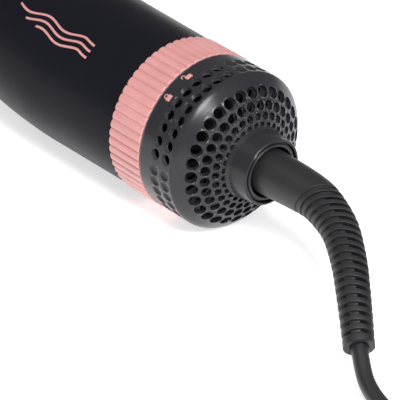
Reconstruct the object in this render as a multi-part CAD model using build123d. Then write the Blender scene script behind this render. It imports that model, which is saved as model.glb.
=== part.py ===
"""Hot air brush: a round vented brush head on a blower handle with a swivelling mains cord.

Frame: +X runs from the brush tip to the cord, +Z is up, and the brush lies on z = 0.
Sizes are in millimetres. One STEP file is written for each sub-part.
"""

import math
import os

from build123d import *

# ---- Driving dimensions -------------------------------------------------------------------
# Lengths along the axis, from the cord end to the tip
COLLAR_REACH = 36.2
RING_LENGTH = 16.4
SHELL_LENGTH = 178.0
TRIM_LENGTH = 8.0
BARREL_LENGTH = 122.0
TIP_LENGTH = 12.0

# Radii of the outside
RING_RADIUS = 30.0
SHELL_REAR_RADIUS = 29.4
BELLY_RADIUS = 29.8
GRIP_RADIUS = 19.6
NECK_RADIUS = 22.5
CAP_RADIUS = 29.6
BARREL_RADIUS = 19.5
BRISTLE_REACH = 30.0

# Walls and clearances
SHELL_WALL = 2.2
CAP_WALL = 1.8
RUN_GAP = 0.1
PART_GAP = 0.3
SEAT_GAP = 0.05

# The handle is turned about its axis, so that the controls face up and to one side
HANDLE_ROLL = 40.0

# Lock ring
RING_BORE = 25.3
RING_RIBS = 56
RIB_DEPTH = 0.45
RIB_MARGIN = 0.9
RING_CHAMFER = 0.4
SEAT_DEPTH = 8.0

# Intake cap
SIDE_HOLE_RADIUS = 2.0
SIDE_HOLE_ROWS = (8.34, 13.77)
SIDE_HOLES = 9
SIDE_HOLE_PITCH = 9.55
DIMPLES = 10
DIMPLE_DEPTH = 0.6
DIMPLE_MARGIN = 12.0
CAP_SHOULDER = 15.2
CAP_SEAT = 0.2
SPIGOT_STEP = 2.2
SPIGOT_WALL = 1.3
SPIGOT_LENGTH = 7.4
WEB_LENGTH = 2.0
GRILLE_COUNT = 30
GRILLE_ROWS = ((24.4, 2.15), (20.32, 1.75), (16.96, 1.3), (14.14, 1.0))
COLLAR_BORE = 11.3
COLLAR_WALL = 1.05
COLLAR_FLARE = 1.0
COLLAR_FOOT = 24.0
COLLAR_ROUNDING = 0.5
SCREEN_STATION = 15.4
SCREEN_THICKNESS = 0.8
SCREEN_SLOTS = 36
SCREEN_SLOT_WIDTH = 1.4
SCREEN_RIM = 3.0

# Swivel inside the collar
HUB_WALL = 1.6
HUB_REBATE = 0.9
HUB_REBATE_WALL = 0.7
SLEEVE_WALL = 1.8
SLEEVE_REACH = 8.0
FRAME_LIP = 0.6
FRAME_LIP_WIDTH = 1.5
SPOKES = 4
SPOKE_WIDTH = 2.4
ROTOR_LENGTH = 14.0
ROTOR_NECK = 6.0
SLIP_RINGS = ((2.8, 4.2), (6.0, 7.6))
SLIP_RING_DEPTH = 1.0
CONTACT_RADIUS = 0.6
CARRIER_THICKNESS = 4.0
BOOT_ROOT_RADIUS = 8.4
BOOT_END_RADIUS = 5.3

# Blower
MOTOR_RADIUS = 16.5
MOTOR_LENGTH = 38.0
MOTOR_WALL = 1.2
SHAFT_RADIUS = 1.6
FAN_RADIUS = 24.0
FAN_WIDTH = 11.0
FAN_BLADES = 9
FAN_HUB_RADIUS = 8.0
BLADE_THICKNESS = 1.1
BLADE_TWIST = 48.0
GUIDE_WALL = 1.4
GUIDE_VANES = 6
VANE_WIDTH = 1.4
DAMPER_WIDTH = 8.0
MAGNET_THICKNESS = 2.2
MAGNET_GAP = 8.0
ARMATURE_SLOTS = 6
ARMATURE_SLOT_WIDTH = 1.8
END_CAP_THICKNESS = 2.5
TERMINAL_WIDTH = 3.0
TERMINAL_THICKNESS = 0.6

# Heater
HEATER_RADIUS = 15.5
HEATER_WALL = 0.5
HEATER_LENGTH = 78.0
HEATER_TURNS = 9
WIRE_RADIUS = 0.5
MICA_THICKNESS = 1.0
MICA_MARGIN = 3.0
CUTOUT_STATION = 22.0
CUTOUT_LENGTH = 10.0
FUSE_RADIUS = 1.5
FUSE_LEAD = 0.4

# Controls
PANEL_LENGTH = 46.0
PANEL_WIDTH = 14.0
PANEL_THICKNESS = 3.0
PANEL_LEDGE = 1.4
SLIDER_TRAVEL = 10.0
SLIDER_LENGTH = 9.0
SLIDER_WIDTH = 7.0
BUTTON_RADIUS = 4.2
BUTTON_TRAVEL = 1.5
BUTTON_STAND = 1.9
SLIDER_STAND = 3.2
SLIDER_RIDGE = 1.4
STEM_WIDTH = 3.0
SWITCH_WIDTH = 10.0
SWITCH_HEIGHT = 7.0
BUTTON_SWITCH = 7.0
BOARD_THICKNESS = 1.6
RELEASE_RADIUS = 3.2
RELEASE_STAND = 1.6

# Mouth of the handle
TRIM_STEP = 0.7
SPOUT_CLEARANCE = 0.6
SPOUT_WALL = 1.0
SPOUT_REACH = 10.0

# Brush head
HEAD_BASE_LENGTH = 9.0
HEAD_BASE_ROUNDING = 1.5
BARREL_WALL = 0.9
BRISTLE_ROWS = 12
BRISTLES_PER_ROW = 18
BRISTLE_RADIUS = 0.6
STRIP_WIDTH = 2.4
STRIP_HEIGHT = 1.2
HEAD_TRAVEL = 25.0
VENT_RADIUS = 1.6
VENTS_PER_ROW = 14
VENT_MARGIN = 8.0
BRISTLE_MARGIN = 3.0
SPINE_RADIUS = 4.5
FIN_WIDTH = 1.6
TIP_STEP = 1.2
TIP_ROUNDING = 5.0
TIP_RECESS = 3.0

# Fasteners
SCREW_RADIUS = 1.4
SCREW_HEAD_RADIUS = 2.6
SCREW_HEAD_HEIGHT = 1.8
BOSS_RADIUS = 3.6
SCREW_DEPTH = 6.0
SCREW_REACH = 10.0
SCREW_SLOT_WIDTH = 0.8

# Cord and plug
CORD_DIAMETER = 5.7
COIL_TURNS_ACROSS = 4
COIL_LAYERS = 2
COIL_OUTER_TURN = 40.7
TIE_WIDTH = 7.0
TIE_THICKNESS = 0.8
PLUG_LENGTH = 34.0
PLUG_WIDTH = 35.0
PLUG_HEIGHT = 26.0
PLUG_SLEEVE = 24.0
PIN_RADIUS = 2.4
PIN_LENGTH = 19.0
PIN_SPACING = 19.0
PIN_ROUNDING = 0.8
PLUG_ROUNDING = 10.0
PLUG_REAR_ROUNDING = 6.0
TAIL_LENGTH = 36.0

# ---- Stations along the axis --------------------------------------------------------------
OVERALL = COLLAR_REACH + RING_LENGTH + SHELL_LENGTH + TRIM_LENGTH + BARREL_LENGTH + TIP_LENGTH
RING_REAR = OVERALL / 2 - COLLAR_REACH
RING_FRONT = RING_REAR - RING_LENGTH
SHELL_FRONT = RING_FRONT - SHELL_LENGTH
TRIM_FRONT = SHELL_FRONT - TRIM_LENGTH
BARREL_FRONT = TRIM_FRONT - BARREL_LENGTH
TIP_FRONT = BARREL_FRONT - TIP_LENGTH
AXIS_HEIGHT = max(RING_RADIUS, BRISTLE_REACH)

# Cap and swivel stations
SPIGOT_RADIUS = RING_BORE + SPIGOT_STEP
SPIGOT_BORE = SPIGOT_RADIUS - SPIGOT_WALL
COLLAR_RADIUS = COLLAR_BORE + COLLAR_WALL
HUB_RADIUS = COLLAR_BORE - PART_GAP
HUB_BORE = HUB_RADIUS - HUB_WALL
HUB_FRONT = RING_REAR - 8.0
ROTOR_FRONT = RING_REAR + 6.0
ROTOR_REAR = ROTOR_FRONT + ROTOR_LENGTH
RETAINER_WIDTH = 2.0
BOOT_START = ROTOR_REAR + RETAINER_WIDTH + 2 * PART_GAP

# Blower stations
SLEEVE_RADIUS = RING_BORE - RUN_GAP
SHELL_BORE = SHELL_REAR_RADIUS - SHELL_WALL
FAN_REAR = RING_FRONT - 10.0
FAN_FRONT = FAN_REAR - FAN_WIDTH
MOTOR_REAR = FAN_FRONT - 3.0
MOTOR_FRONT = MOTOR_REAR - MOTOR_LENGTH
GUIDE_RADIUS = SHELL_BORE - 1.3

# Control stations: the panel lies along the narrow of the grip
GRIP_STATION = RING_FRONT - 0.80 * SHELL_LENGTH
PANEL_REAR = GRIP_STATION + PANEL_LENGTH / 2
PANEL_FRONT = PANEL_REAR - PANEL_LENGTH
PANEL_TOP = GRIP_RADIUS + 1.0
PANEL_BOTTOM = PANEL_TOP - PANEL_THICKNESS
SLIDER_REST = PANEL_REAR - 6.0 - SLIDER_LENGTH / 2
BUTTON_STATION = PANEL_FRONT + 6.0 + BUTTON_RADIUS
SWITCH_TOP = PANEL_BOTTOM - PART_GAP
SWITCH_LENGTH = SLIDER_TRAVEL + SLIDER_LENGTH + 3.0
BOARD_TOP = SWITCH_TOP - SWITCH_HEIGHT
SCREW_STATIONS = (RING_FRONT - 0.42 * SHELL_LENGTH, RING_FRONT - 0.56 * SHELL_LENGTH)

# Heater stations: it stands in the neck and reaches into the barrel
HEATER_REAR = PANEL_FRONT - 2.0
HEATER_FRONT = HEATER_REAR - HEATER_LENGTH

# Stations of the handle's mouth
TRIM_RADIUS = NECK_RADIUS + TRIM_STEP
SPOUT_BORE = HEATER_RADIUS + SPOUT_CLEARANCE
SPOUT_RADIUS = SPOUT_BORE + SPOUT_WALL
RELEASE_STATION = SHELL_FRONT + 9.0
HEAD_BASE_FRONT = TRIM_FRONT - HEAD_BASE_LENGTH

# Cord stations, all measured from the collar's rim
RIM = RING_REAR + COLLAR_REACH
COIL_CENTRE = (RIM + 150.0, 6.0)
COIL_HEIGHT = COIL_LAYERS * CORD_DIAMETER
COIL_OUTSIDE = COIL_OUTER_TURN + CORD_DIAMETER / 2
COIL_INSIDE = COIL_OUTSIDE - COIL_TURNS_ACROSS * CORD_DIAMETER
PLUG_Y = COIL_CENTRE[1] + COIL_OUTER_TURN
SLEEVE_END = COIL_CENTRE[0] - TAIL_LENGTH
TAIL_LOW = COIL_HEIGHT - CORD_DIAMETER / 2
PLUG_AXIS = PLUG_HEIGHT / 2
PLUG_FACE = SLEEVE_END - PLUG_SLEEVE - PLUG_LENGTH

# The boot's middle line: distance behind the rim, sideways, and share of the drop to its end
BOOT_DROP = 19.5
BOOT_LINE = (
    (-7.5, 0.0, 0.0),
    (-1.5, 0.0, 0.0),
    (4.5, 0.1, 0.0),
    (12.0, 0.7, 0.02),
    (22.0, 0.9, 0.056),
    (31.0, -1.2, 0.108),
    (38.5, -3.9, 0.174),
    (45.7, -7.9, 0.267),
    (53.5, -13.0, 0.39),
    (60.2, -17.9, 0.538),
    (67.5, -23.3, 0.728),
    (76.4, -30.0, 1.0),
)
BOOT_RADII = (8.4, 8.35, 8.2, 8.0, 7.5, 7.0, 6.6, 6.3, 6.05, 5.85, 5.6, BOOT_END_RADIUS)
BOOT_END_DIRECTION = (0.73, -0.52, -0.433)
BOOT_GROOVES = 20
FIRST_GROOVE = 0.40
LAST_GROOVE = 0.94
GROOVE_WIDTH = 1.6
GROOVE_FLOOR = 4.4

# The cord's route past its first run: distance behind the rim, sideways and height
FIRST_RUN = 9.0
CORD_ROUTE = (
    (91.9, -38.5, 4.0),
    (102.7, -40.4, 2.85),
    (117.0, -39.2, 2.85),
    (134.5, -36.4, 2.85),
    (150.0, -34.7, 2.85),
)


# ---- Helpers ------------------------------------------------------------------------------
def seat(shape):
    """Turn a handle piece from its upright build frame to how the brush lies."""
    return Pos(0, 0, AXIS_HEIGHT) * Rot(X=HANDLE_ROLL) * shape


def rod(start, end, radius):
    """A round bar along X from start to end."""
    length = end - start
    return Pos((start + end) / 2, 0, 0) * Rot(Y=90) * Cylinder(radius, length)


def tube(start, end, outer, inner):
    """A round tube along X from start to end."""
    return rod(start, end, outer) - rod(start - 1, end + 1, inner)


def block(x_low, x_high, y_low, y_high, z_low, z_high):
    """A rectangular block between two corners."""
    middle = ((x_low + x_high) / 2, (y_low + y_high) / 2, (z_low + z_high) / 2)
    return Pos(*middle) * Box(x_high - x_low, y_high - y_low, z_high - z_low)


def around(shape, count, start=0.0):
    """Copies of a shape at even angles about the axis."""
    return [Rot(X=start + 360 * i / count) * shape for i in range(count)]


def turned(outline):
    """A solid turned about X from an outline of (x, radius) points closed along the axis."""
    first, last = outline[0], outline[-1]
    with BuildPart() as made:
        with BuildSketch(Plane.XZ):
            with BuildLine():
                Spline(*outline)
                Polyline(last, (last[0], 0), (first[0], 0), first)
            make_face()
        revolve(axis=Axis.X)
    return made.part


def write(name, shape):
    """Write one sub-part, given as a list of shapes, to its own file."""
    solids = [solid for piece in shape for solid in piece.solids()]
    whole = solids[0] if len(solids) == 1 else Compound(children=solids)
    whole.label = name
    export_step(whole, f"parts/{name}.step")


# ---- Handle shells ------------------------------------------------------------------------
def shell_outline(inset):
    """The handle's outline from the lock ring to the neck, moved in by a wall."""
    shares = (
        (0.0, SHELL_REAR_RADIUS),
        (0.17, (SHELL_REAR_RADIUS + BELLY_RADIUS) / 2 + 0.15),
        (0.29, BELLY_RADIUS),
        (0.43, BELLY_RADIUS - 0.2 * (BELLY_RADIUS - GRIP_RADIUS)),
        (0.59, GRIP_RADIUS + 0.3 * (BELLY_RADIUS - GRIP_RADIUS)),
        (0.74, GRIP_RADIUS),
        (0.88, GRIP_RADIUS + 0.1 * (NECK_RADIUS - GRIP_RADIUS)),
        (1.0, NECK_RADIUS),
    )
    return [(RING_FRONT - share * SHELL_LENGTH, radius - inset) for share, radius in shares]


def handle_wall():
    """The whole turned wall of the handle, before it is parted."""
    return turned(shell_outline(0.0)) - turned(shell_outline(SHELL_WALL))


def panel_block(grow, top, bottom):
    """The control panel's outline as a block with round ends."""
    middle = Pos((PANEL_REAR + PANEL_FRONT) / 2, 0, bottom)
    outline = SlotOverall(PANEL_LENGTH + 2 * grow, PANEL_WIDTH + 2 * grow)
    return middle * extrude(outline, top - bottom)


def half_space(upper):
    """A block that keeps the upper or the lower half of the handle."""
    far = 2 * RING_RADIUS
    low, high = (0, far) if upper else (-far, 0)
    return block(TIP_FRONT, RIM, -far, far, low, high)


def boss(station, low, high):
    """A round post across the handle at a station."""
    return Pos(station, 0, (low + high) / 2) * Cylinder(BOSS_RADIUS, high - low)


def shell_radius_at(station):
    """The outside radius of the handle at a station, between the outline's points."""
    points = shell_outline(0.0)
    for (x_a, r_a), (x_b, r_b) in zip(points, points[1:]):
        if x_b <= station <= x_a:
            return r_a + (r_b - r_a) * (x_a - station) / (x_a - x_b)
    return points[-1][1]


def upper_shell(wall):
    """The shell that carries the controls, with the upper half of the screw posts."""
    shell = wall & half_space(True)
    for station in SCREW_STATIONS:
        shell += boss(station, 0, shell_radius_at(station) - SHELL_WALL / 2)
        shell -= Pos(station, 0, 0) * Cylinder(SCREW_RADIUS, 2 * SCREW_REACH + 4)
    shell -= panel_block(SEAT_GAP, 2 * RING_RADIUS, PANEL_BOTTOM)
    shell -= panel_block(-PANEL_LEDGE, PANEL_BOTTOM + 1, PANEL_BOTTOM - 5)
    return shell - release_opening()


def lower_shell(wall):
    """The shell opposite the controls, with counterbored screw posts."""
    shell = wall & half_space(False)
    for station in SCREW_STATIONS:
        radius = shell_radius_at(station)
        shell += boss(station, -radius + SHELL_WALL / 2, 0)
        shell -= Pos(station, 0, -radius / 2) * Cylinder(SCREW_RADIUS, radius + 4)
        shell -= Pos(station, 0, -radius) * Cylinder(SCREW_HEAD_RADIUS + RUN_GAP, 2 * SCREW_DEPTH)
    return shell


def shell_screws():
    """Two screws that hold the shells together, one behind the other."""
    screws = []
    for station in SCREW_STATIONS:
        head_high = -shell_radius_at(station) + SCREW_DEPTH
        head_low = head_high - SCREW_HEAD_HEIGHT
        head = Cylinder(SCREW_HEAD_RADIUS, SCREW_HEAD_HEIGHT)
        head = Pos(station, 0, (head_low + head_high) / 2) * head
        shank = Cylinder(SCREW_RADIUS - SEAT_GAP, SCREW_REACH - head_high)
        shank = Pos(station, 0, (head_high + SCREW_REACH) / 2) * shank
        slot = Pos(station, 0, head_low) * Box(3.6, SCREW_SLOT_WIDTH, 1.2)
        screws.append(head + shank - slot)
    return screws


# ---- Lock ring and intake cap -------------------------------------------------------------
def lock_ring():
    """The ribbed ring that turns to free the intake cap."""
    front, rear = RING_FRONT + PART_GAP, RING_REAR
    ring = rod(front, rear, RING_RADIUS)
    ring = chamfer(ring.edges().filter_by(GeomType.CIRCLE), RING_CHAMFER)
    ring -= rod(front - 1, rear + 1, RING_BORE)
    ring -= rod(rear - SEAT_DEPTH, rear + 1, SPIGOT_RADIUS + RUN_GAP)
    groove_radius = math.pi * RING_RADIUS / RING_RIBS * 0.55
    reach = RING_RADIUS - RIB_DEPTH + groove_radius
    groove = Pos(0, 0, reach) * rod(front + RIB_MARGIN, rear - RIB_MARGIN, groove_radius)
    return ring - around(groove, RING_RIBS)


def cap_outline(inset):
    """The intake cap's shoulder and dome, from its side to its collar, moved in by a wall."""
    points = (
        (CAP_SHOULDER, CAP_RADIUS, 0.0, 1.0),
        (18.0, CAP_RADIUS - 1.1, 0.55, 0.84),
        (21.82, GRILLE_ROWS[0][0], 0.78, 0.62),
        (24.31, GRILLE_ROWS[1][0], 0.86, 0.5),
        (26.04, GRILLE_ROWS[2][0], 0.91, 0.41),
        (27.23, GRILLE_ROWS[3][0], 0.94, 0.34),
        (27.6, COLLAR_RADIUS + COLLAR_FLARE, 0.95, 0.3),
    )
    return [(RING_REAR + x - inset * along, radius - inset * out) for x, radius, along, out in points]


def cap_side_holes():
    """Through holes in two clusters, front and back, and blind dimples between them."""
    cutters = []
    hole = Cylinder(SIDE_HOLE_RADIUS, 8)
    dimple = Cylinder(SIDE_HOLE_RADIUS, 2 * DIMPLE_DEPTH)
    spread = SIDE_HOLE_PITCH * (SIDE_HOLES - 1) / 2
    gap = 180 - 2 * spread
    step = (gap - 2 * DIMPLE_MARGIN) / (DIMPLES - 1)
    for row in SIDE_HOLE_ROWS:
        for side in (0, 180):
            for i in range(SIDE_HOLES):
                turn = side - spread + SIDE_HOLE_PITCH * i
                cutters.append(Rot(X=turn) * Pos(RING_REAR + row, 0, CAP_RADIUS) * hole)
            for i in range(DIMPLES):
                turn = side + spread + DIMPLE_MARGIN + step * i
                cutters.append(Rot(X=turn) * Pos(RING_REAR + row, 0, CAP_RADIUS) * dimple)
    return cutters


def cap_grille_holes():
    """Rows of holes through the dome, each row half a pitch round from the last."""
    cutters = []
    for index, (ring, radius) in enumerate(GRILLE_ROWS):
        hole = Pos(0, 0, ring) * rod(RING_REAR + 12, RING_REAR + 32, radius)
        cutters += around(hole, GRILLE_COUNT, index % 2 * 180 / GRILLE_COUNT)
    return cutters


def intake_cap():
    """The perforated cap over the fan's intake, with the collar round the swivel."""
    low = RING_REAR + CAP_SEAT
    shoulder = RING_REAR + CAP_SHOULDER
    outside = rod(low, shoulder, CAP_RADIUS) + turned(cap_outline(0.0))
    inside = rod(low - 1, shoulder, CAP_RADIUS - CAP_WALL) + turned(cap_outline(CAP_WALL))
    base = RING_REAR + COLLAR_FOOT
    taper = Cone(COLLAR_RADIUS + COLLAR_FLARE, COLLAR_RADIUS, RIM - base)
    taper = Pos((base + RIM) / 2, 0, 0) * Rot(Y=90) * taper
    taper = fillet(taper.edges().sort_by(Axis.X)[-1], COLLAR_ROUNDING)
    spigot = tube(RING_REAR - SPIGOT_LENGTH, low + WEB_LENGTH, SPIGOT_RADIUS, SPIGOT_BORE)
    web = tube(low, low + WEB_LENGTH, CAP_RADIUS - CAP_WALL / 2, SPIGOT_BORE)
    cap = outside - inside + taper + spigot + web
    cap -= rod(RING_FRONT, RIM + 1, COLLAR_BORE)
    return cap - (cap_side_holes() + cap_grille_holes())


def dust_screen():
    """The lint screen behind the grille, a thin disc with slots."""
    front = RING_REAR + SCREEN_STATION
    outer = CAP_RADIUS - CAP_WALL - 1.1
    inner = HUB_RADIUS + 2 * PART_GAP
    disc = tube(front, front + SCREEN_THICKNESS, outer, inner)
    half = SCREEN_SLOT_WIDTH / 2
    slot = block(front - 1, front + 2, -half, half, inner + SCREEN_RIM, outer - 2)
    return disc - around(slot, SCREEN_SLOTS)


def rear_frame():
    """The fixed frame: a sleeve for the lock ring, spokes, and the hub of the swivel."""
    front = RING_FRONT - SLEEVE_REACH
    bore = SLEEVE_RADIUS - SLEEVE_WALL
    sleeve = tube(front, RING_REAR - 2 * PART_GAP, SLEEVE_RADIUS, bore)
    plug = tube(front, RING_FRONT, SHELL_BORE - SEAT_GAP, bore)
    lip_low = RING_REAR - SEAT_DEPTH + PART_GAP
    lip = tube(lip_low, lip_low + FRAME_LIP_WIDTH, SLEEVE_RADIUS + FRAME_LIP, SLEEVE_RADIUS - 1)
    end = RIM - PART_GAP
    hub = tube(HUB_FRONT, end, HUB_RADIUS, HUB_BORE)
    hub -= tube(end - HUB_REBATE, end + 1, HUB_RADIUS + 1, HUB_RADIUS - HUB_REBATE_WALL)
    half = SPOKE_WIDTH / 2
    spoke = block(HUB_FRONT, RING_REAR - 1.0, -half, half, HUB_RADIUS - 0.5, SLEEVE_RADIUS - 1)
    frame = sleeve + plug + lip + hub
    for piece in around(spoke, SPOKES, 180 / SPOKES):
        frame += piece
    return frame


# ---- Swivel -------------------------------------------------------------------------------
def swivel_rotor():
    """The drum on the cord's end that turns in the hub, with seats for two slip rings."""
    drum = rod(ROTOR_FRONT, ROTOR_REAR, HUB_BORE - RUN_GAP)
    neck = rod(ROTOR_REAR, BOOT_START, ROTOR_NECK)
    rotor = drum + neck
    for inner, outer in SLIP_RINGS:
        rotor -= tube(ROTOR_FRONT - 1, ROTOR_FRONT + SLIP_RING_DEPTH, outer, inner)
    return rotor


def slip_rings():
    """Two brass rings in the drum's front face."""
    rear = ROTOR_FRONT + SLIP_RING_DEPTH
    return [tube(ROTOR_FRONT, rear, outer, inner) for inner, outer in SLIP_RINGS]


def swivel_retainer():
    """The ring that keeps the drum in the hub."""
    front = ROTOR_REAR + PART_GAP
    return tube(front, front + RETAINER_WIDTH, HUB_BORE - SEAT_GAP, ROTOR_NECK + PART_GAP)


def contact_carrier():
    """The disc in the hub's front end that holds the sprung contacts."""
    rear = HUB_FRONT + CARRIER_THICKNESS
    disc = rod(HUB_FRONT, rear, HUB_BORE - SEAT_GAP)
    bore = rod(HUB_FRONT - 1, rear + 1, CONTACT_RADIUS + SEAT_GAP)
    for inner, outer in SLIP_RINGS:
        disc -= Pos(0, 0, (inner + outer) / 2) * bore
    return disc


def contact_pins():
    """Two brass contacts that meet the slip rings."""
    end = ROTOR_FRONT - RUN_GAP
    return [Pos(0, 0, (a + b) / 2) * rod(HUB_FRONT, end, CONTACT_RADIUS) for a, b in SLIP_RINGS]


# ---- Blower -------------------------------------------------------------------------------
def air_guide():
    """The duct round fan and motor: an outer ring, six vanes and the motor's sleeve."""
    front = MOTOR_FRONT + 4
    duct = tube(front, FAN_REAR + 2, GUIDE_RADIUS, GUIDE_RADIUS - GUIDE_WALL)
    bore = MOTOR_RADIUS + SEAT_GAP
    sleeve = tube(front, MOTOR_REAR - 2, bore + GUIDE_WALL, bore)
    half = VANE_WIDTH / 2
    vane = block(front, MOTOR_REAR - 2, -half, half, MOTOR_RADIUS + 1, GUIDE_RADIUS - 0.5)
    guide = duct + sleeve
    for piece in around(vane, GUIDE_VANES, 180 / GUIDE_VANES):
        guide += piece
    return guide


def rubber_damper():
    """The rubber ring that keeps the air guide from shaking the shell."""
    low = (MOTOR_FRONT + MOTOR_REAR - DAMPER_WIDTH) / 2
    return tube(low, low + DAMPER_WIDTH, SHELL_BORE - SEAT_GAP, GUIDE_RADIUS + SEAT_GAP)


def motor_can():
    """The motor's steel can with a shaft bore in its rear end."""
    can = rod(MOTOR_FRONT, MOTOR_REAR, MOTOR_RADIUS)
    can -= rod(MOTOR_FRONT - 1, MOTOR_REAR - MOTOR_WALL, MOTOR_RADIUS - MOTOR_WALL)
    return can - rod(MOTOR_REAR - 3, MOTOR_REAR + 1, SHAFT_RADIUS + RUN_GAP)


def motor_magnets():
    """Two curved magnets against the can."""
    outer = MOTOR_RADIUS - MOTOR_WALL - SEAT_GAP
    ring = tube(MOTOR_FRONT + 6, MOTOR_REAR - 5, outer, outer - MAGNET_THICKNESS)
    half = MAGNET_GAP / 2
    gap = block(MOTOR_FRONT, MOTOR_REAR, -MOTOR_RADIUS, MOTOR_RADIUS, -half, half)
    return ring - gap


def motor_end_cap():
    """The plastic end of the motor with its second bearing and two terminals."""
    low = MOTOR_FRONT - END_CAP_THICKNESS
    cap = rod(low, MOTOR_FRONT, MOTOR_RADIUS)
    cap += rod(MOTOR_FRONT, MOTOR_FRONT + 3, MOTOR_RADIUS - MOTOR_WALL - SEAT_GAP)
    cap -= rod(low - 1, MOTOR_FRONT + 4, SHAFT_RADIUS + RUN_GAP)
    width, half = TERMINAL_WIDTH / 2, TERMINAL_THICKNESS / 2
    for side in (-1, 1):
        y = side * MOTOR_RADIUS / 2
        cap += block(MOTOR_FRONT - 7, low, y - width, y + width, -half, half)
    return cap


def motor_shaft():
    """The shaft from the motor's end cap to the fan."""
    return rod(MOTOR_FRONT - 2, FAN_REAR - 1, SHAFT_RADIUS)


def armature():
    """The wound rotor on the shaft, with six slots."""
    radius = MOTOR_RADIUS - MOTOR_WALL - SEAT_GAP - MAGNET_THICKNESS - PART_GAP
    core = tube(MOTOR_FRONT + 8, MOTOR_REAR - 6, radius, SHAFT_RADIUS)
    half = ARMATURE_SLOT_WIDTH / 2
    slot = block(MOTOR_FRONT, MOTOR_REAR, -half, half, radius - 4, radius + 1)
    return core - around(slot, ARMATURE_SLOTS)


def fan():
    """The axial fan: a hub and slanted blades."""
    hub = rod(FAN_FRONT, FAN_REAR, FAN_HUB_RADIUS)
    hub -= rod(FAN_FRONT - 1, FAN_REAR - 1, SHAFT_RADIUS)
    middle = (FAN_FRONT + FAN_REAR) / 2
    reach = FAN_RADIUS - FAN_HUB_RADIUS + 1.0
    blade = Rot(Z=BLADE_TWIST) * Box(FAN_WIDTH, BLADE_THICKNESS, reach)
    blade = Pos(middle, 0, FAN_RADIUS - reach / 2 - 0.1) * blade
    wheel = hub
    for piece in around(blade, FAN_BLADES):
        wheel += piece
    return wheel & rod(FAN_FRONT, FAN_REAR, FAN_RADIUS)


# ---- Heater -------------------------------------------------------------------------------
def heater_sleeve():
    """The mica sleeve round the heater."""
    return tube(HEATER_FRONT, HEATER_REAR, HEATER_RADIUS, HEATER_RADIUS - HEATER_WALL)


def mica_reach():
    """How far the mica cross reaches from the axis: short of the heating wire."""
    return HEATER_RADIUS - HEATER_WALL - 2 * WIRE_RADIUS - 3 * SEAT_GAP


def mica_cross():
    """Two crossed mica boards with ribs that hold them in the sleeve."""
    reach = mica_reach()
    low, high = HEATER_FRONT + MICA_MARGIN, HEATER_REAR - MICA_MARGIN
    half = MICA_THICKNESS / 2
    cross = block(low, high, -half, half, -reach, reach)
    cross += block(low, high, -reach, reach, -half, half)
    full = HEATER_RADIUS - HEATER_WALL - SEAT_GAP
    for end in (low, high - MICA_MARGIN):
        cross += block(end, end + MICA_MARGIN, -half, half, -full, full)
        cross += block(end, end + MICA_MARGIN, -full, full, -half, half)
    return cross & rod(low, high, full)


def heater_coil():
    """Rings of heating wire round the mica cross, joined by one wire along them."""
    ring_radius = mica_reach() + SEAT_GAP + WIRE_RADIUS
    low, high = HEATER_FRONT + 10, HEATER_REAR - 10
    step = (high - low) / (HEATER_TURNS - 1)
    diagonal = Rot(X=45) * Pos(0, 0, ring_radius) * rod(low, high, 0.8 * WIRE_RADIUS)
    coil = diagonal
    for i in range(HEATER_TURNS):
        coil += Pos(low + step * i, 0, 0) * Rot(Y=90) * Torus(ring_radius, WIRE_RADIUS)
    return coil


def thermostat():
    """The cut-out on one mica arm that opens when the heater is too hot."""
    half = MICA_THICKNESS / 2
    low = HEATER_FRONT + CUTOUT_STATION
    high = low + CUTOUT_LENGTH
    body = block(low, high, half, half + 3, 3, 9)
    arm = block(low - 4, high + 4, half, half + 0.4, 5, 7)
    return body + arm


def thermal_fuse():
    """The one-time fuse on the opposite mica arm."""
    place = Pos(0, -MICA_THICKNESS / 2 - FUSE_RADIUS, -6)
    low = HEATER_FRONT + CUTOUT_STATION
    high = low + CUTOUT_LENGTH
    return place * (rod(low - 6, high + 8, FUSE_LEAD) + rod(low, high, FUSE_RADIUS))


# ---- Controls -----------------------------------------------------------------------------
def slider_slot(grow):
    """The slot that the slider's stem runs in."""
    half = STEM_WIDTH / 2 + grow
    low = SLIDER_REST - SLIDER_TRAVEL - half
    return block(low, SLIDER_REST + half, -half, half, PANEL_BOTTOM - 1, PANEL_TOP + 1)


def control_panel():
    """The inlay in the grip that the slider and the cool-shot button stand in."""
    panel = panel_block(0.0, PANEL_TOP, PANEL_BOTTOM)
    panel = chamfer(panel.faces().sort_by(Axis.Z)[-1].edges(), 0.5)
    panel -= slider_slot(PART_GAP)
    hole = Cylinder(BUTTON_RADIUS + PART_GAP, 4 * PANEL_THICKNESS)
    return panel - Pos(BUTTON_STATION, 0, PANEL_TOP) * hole


def switch_slider():
    """The thumb slide: off, low and high as it moves towards the brush."""
    low, high = SLIDER_REST - SLIDER_LENGTH / 2, SLIDER_REST + SLIDER_LENGTH / 2
    half = SLIDER_WIDTH / 2
    top = PANEL_TOP + SLIDER_STAND
    knob = block(low, high, -half, half, PANEL_TOP + PART_GAP, top)
    knob = chamfer(knob.faces().sort_by(Axis.Z)[-1].edges(), 0.6)
    foot = STEM_WIDTH / 2
    stem = block(SLIDER_REST - foot, SLIDER_REST + foot, -foot, foot, SWITCH_TOP - 1.2, PANEL_TOP + 1)
    for i in range(-2, 3):
        x = SLIDER_REST + SLIDER_RIDGE * i
        groove = SLIDER_RIDGE / 4
        knob -= block(x - groove, x + groove, -half - 1, half + 1, top - 0.4, top + 1)
    return knob + stem


def switch_body():
    """The switch under the panel, open along its top for the slider's stem."""
    middle = SLIDER_REST - SLIDER_TRAVEL / 2
    low, high = middle - SWITCH_LENGTH / 2, middle + SWITCH_LENGTH / 2
    body = block(low, high, -SWITCH_WIDTH / 2, SWITCH_WIDTH / 2, BOARD_TOP, SWITCH_TOP)
    half = STEM_WIDTH / 2 + PART_GAP
    low, high = SLIDER_REST - SLIDER_TRAVEL - half, SLIDER_REST + half
    return body - block(low, high, -half, half, SWITCH_TOP - 1.5, SWITCH_TOP + 1)


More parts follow.
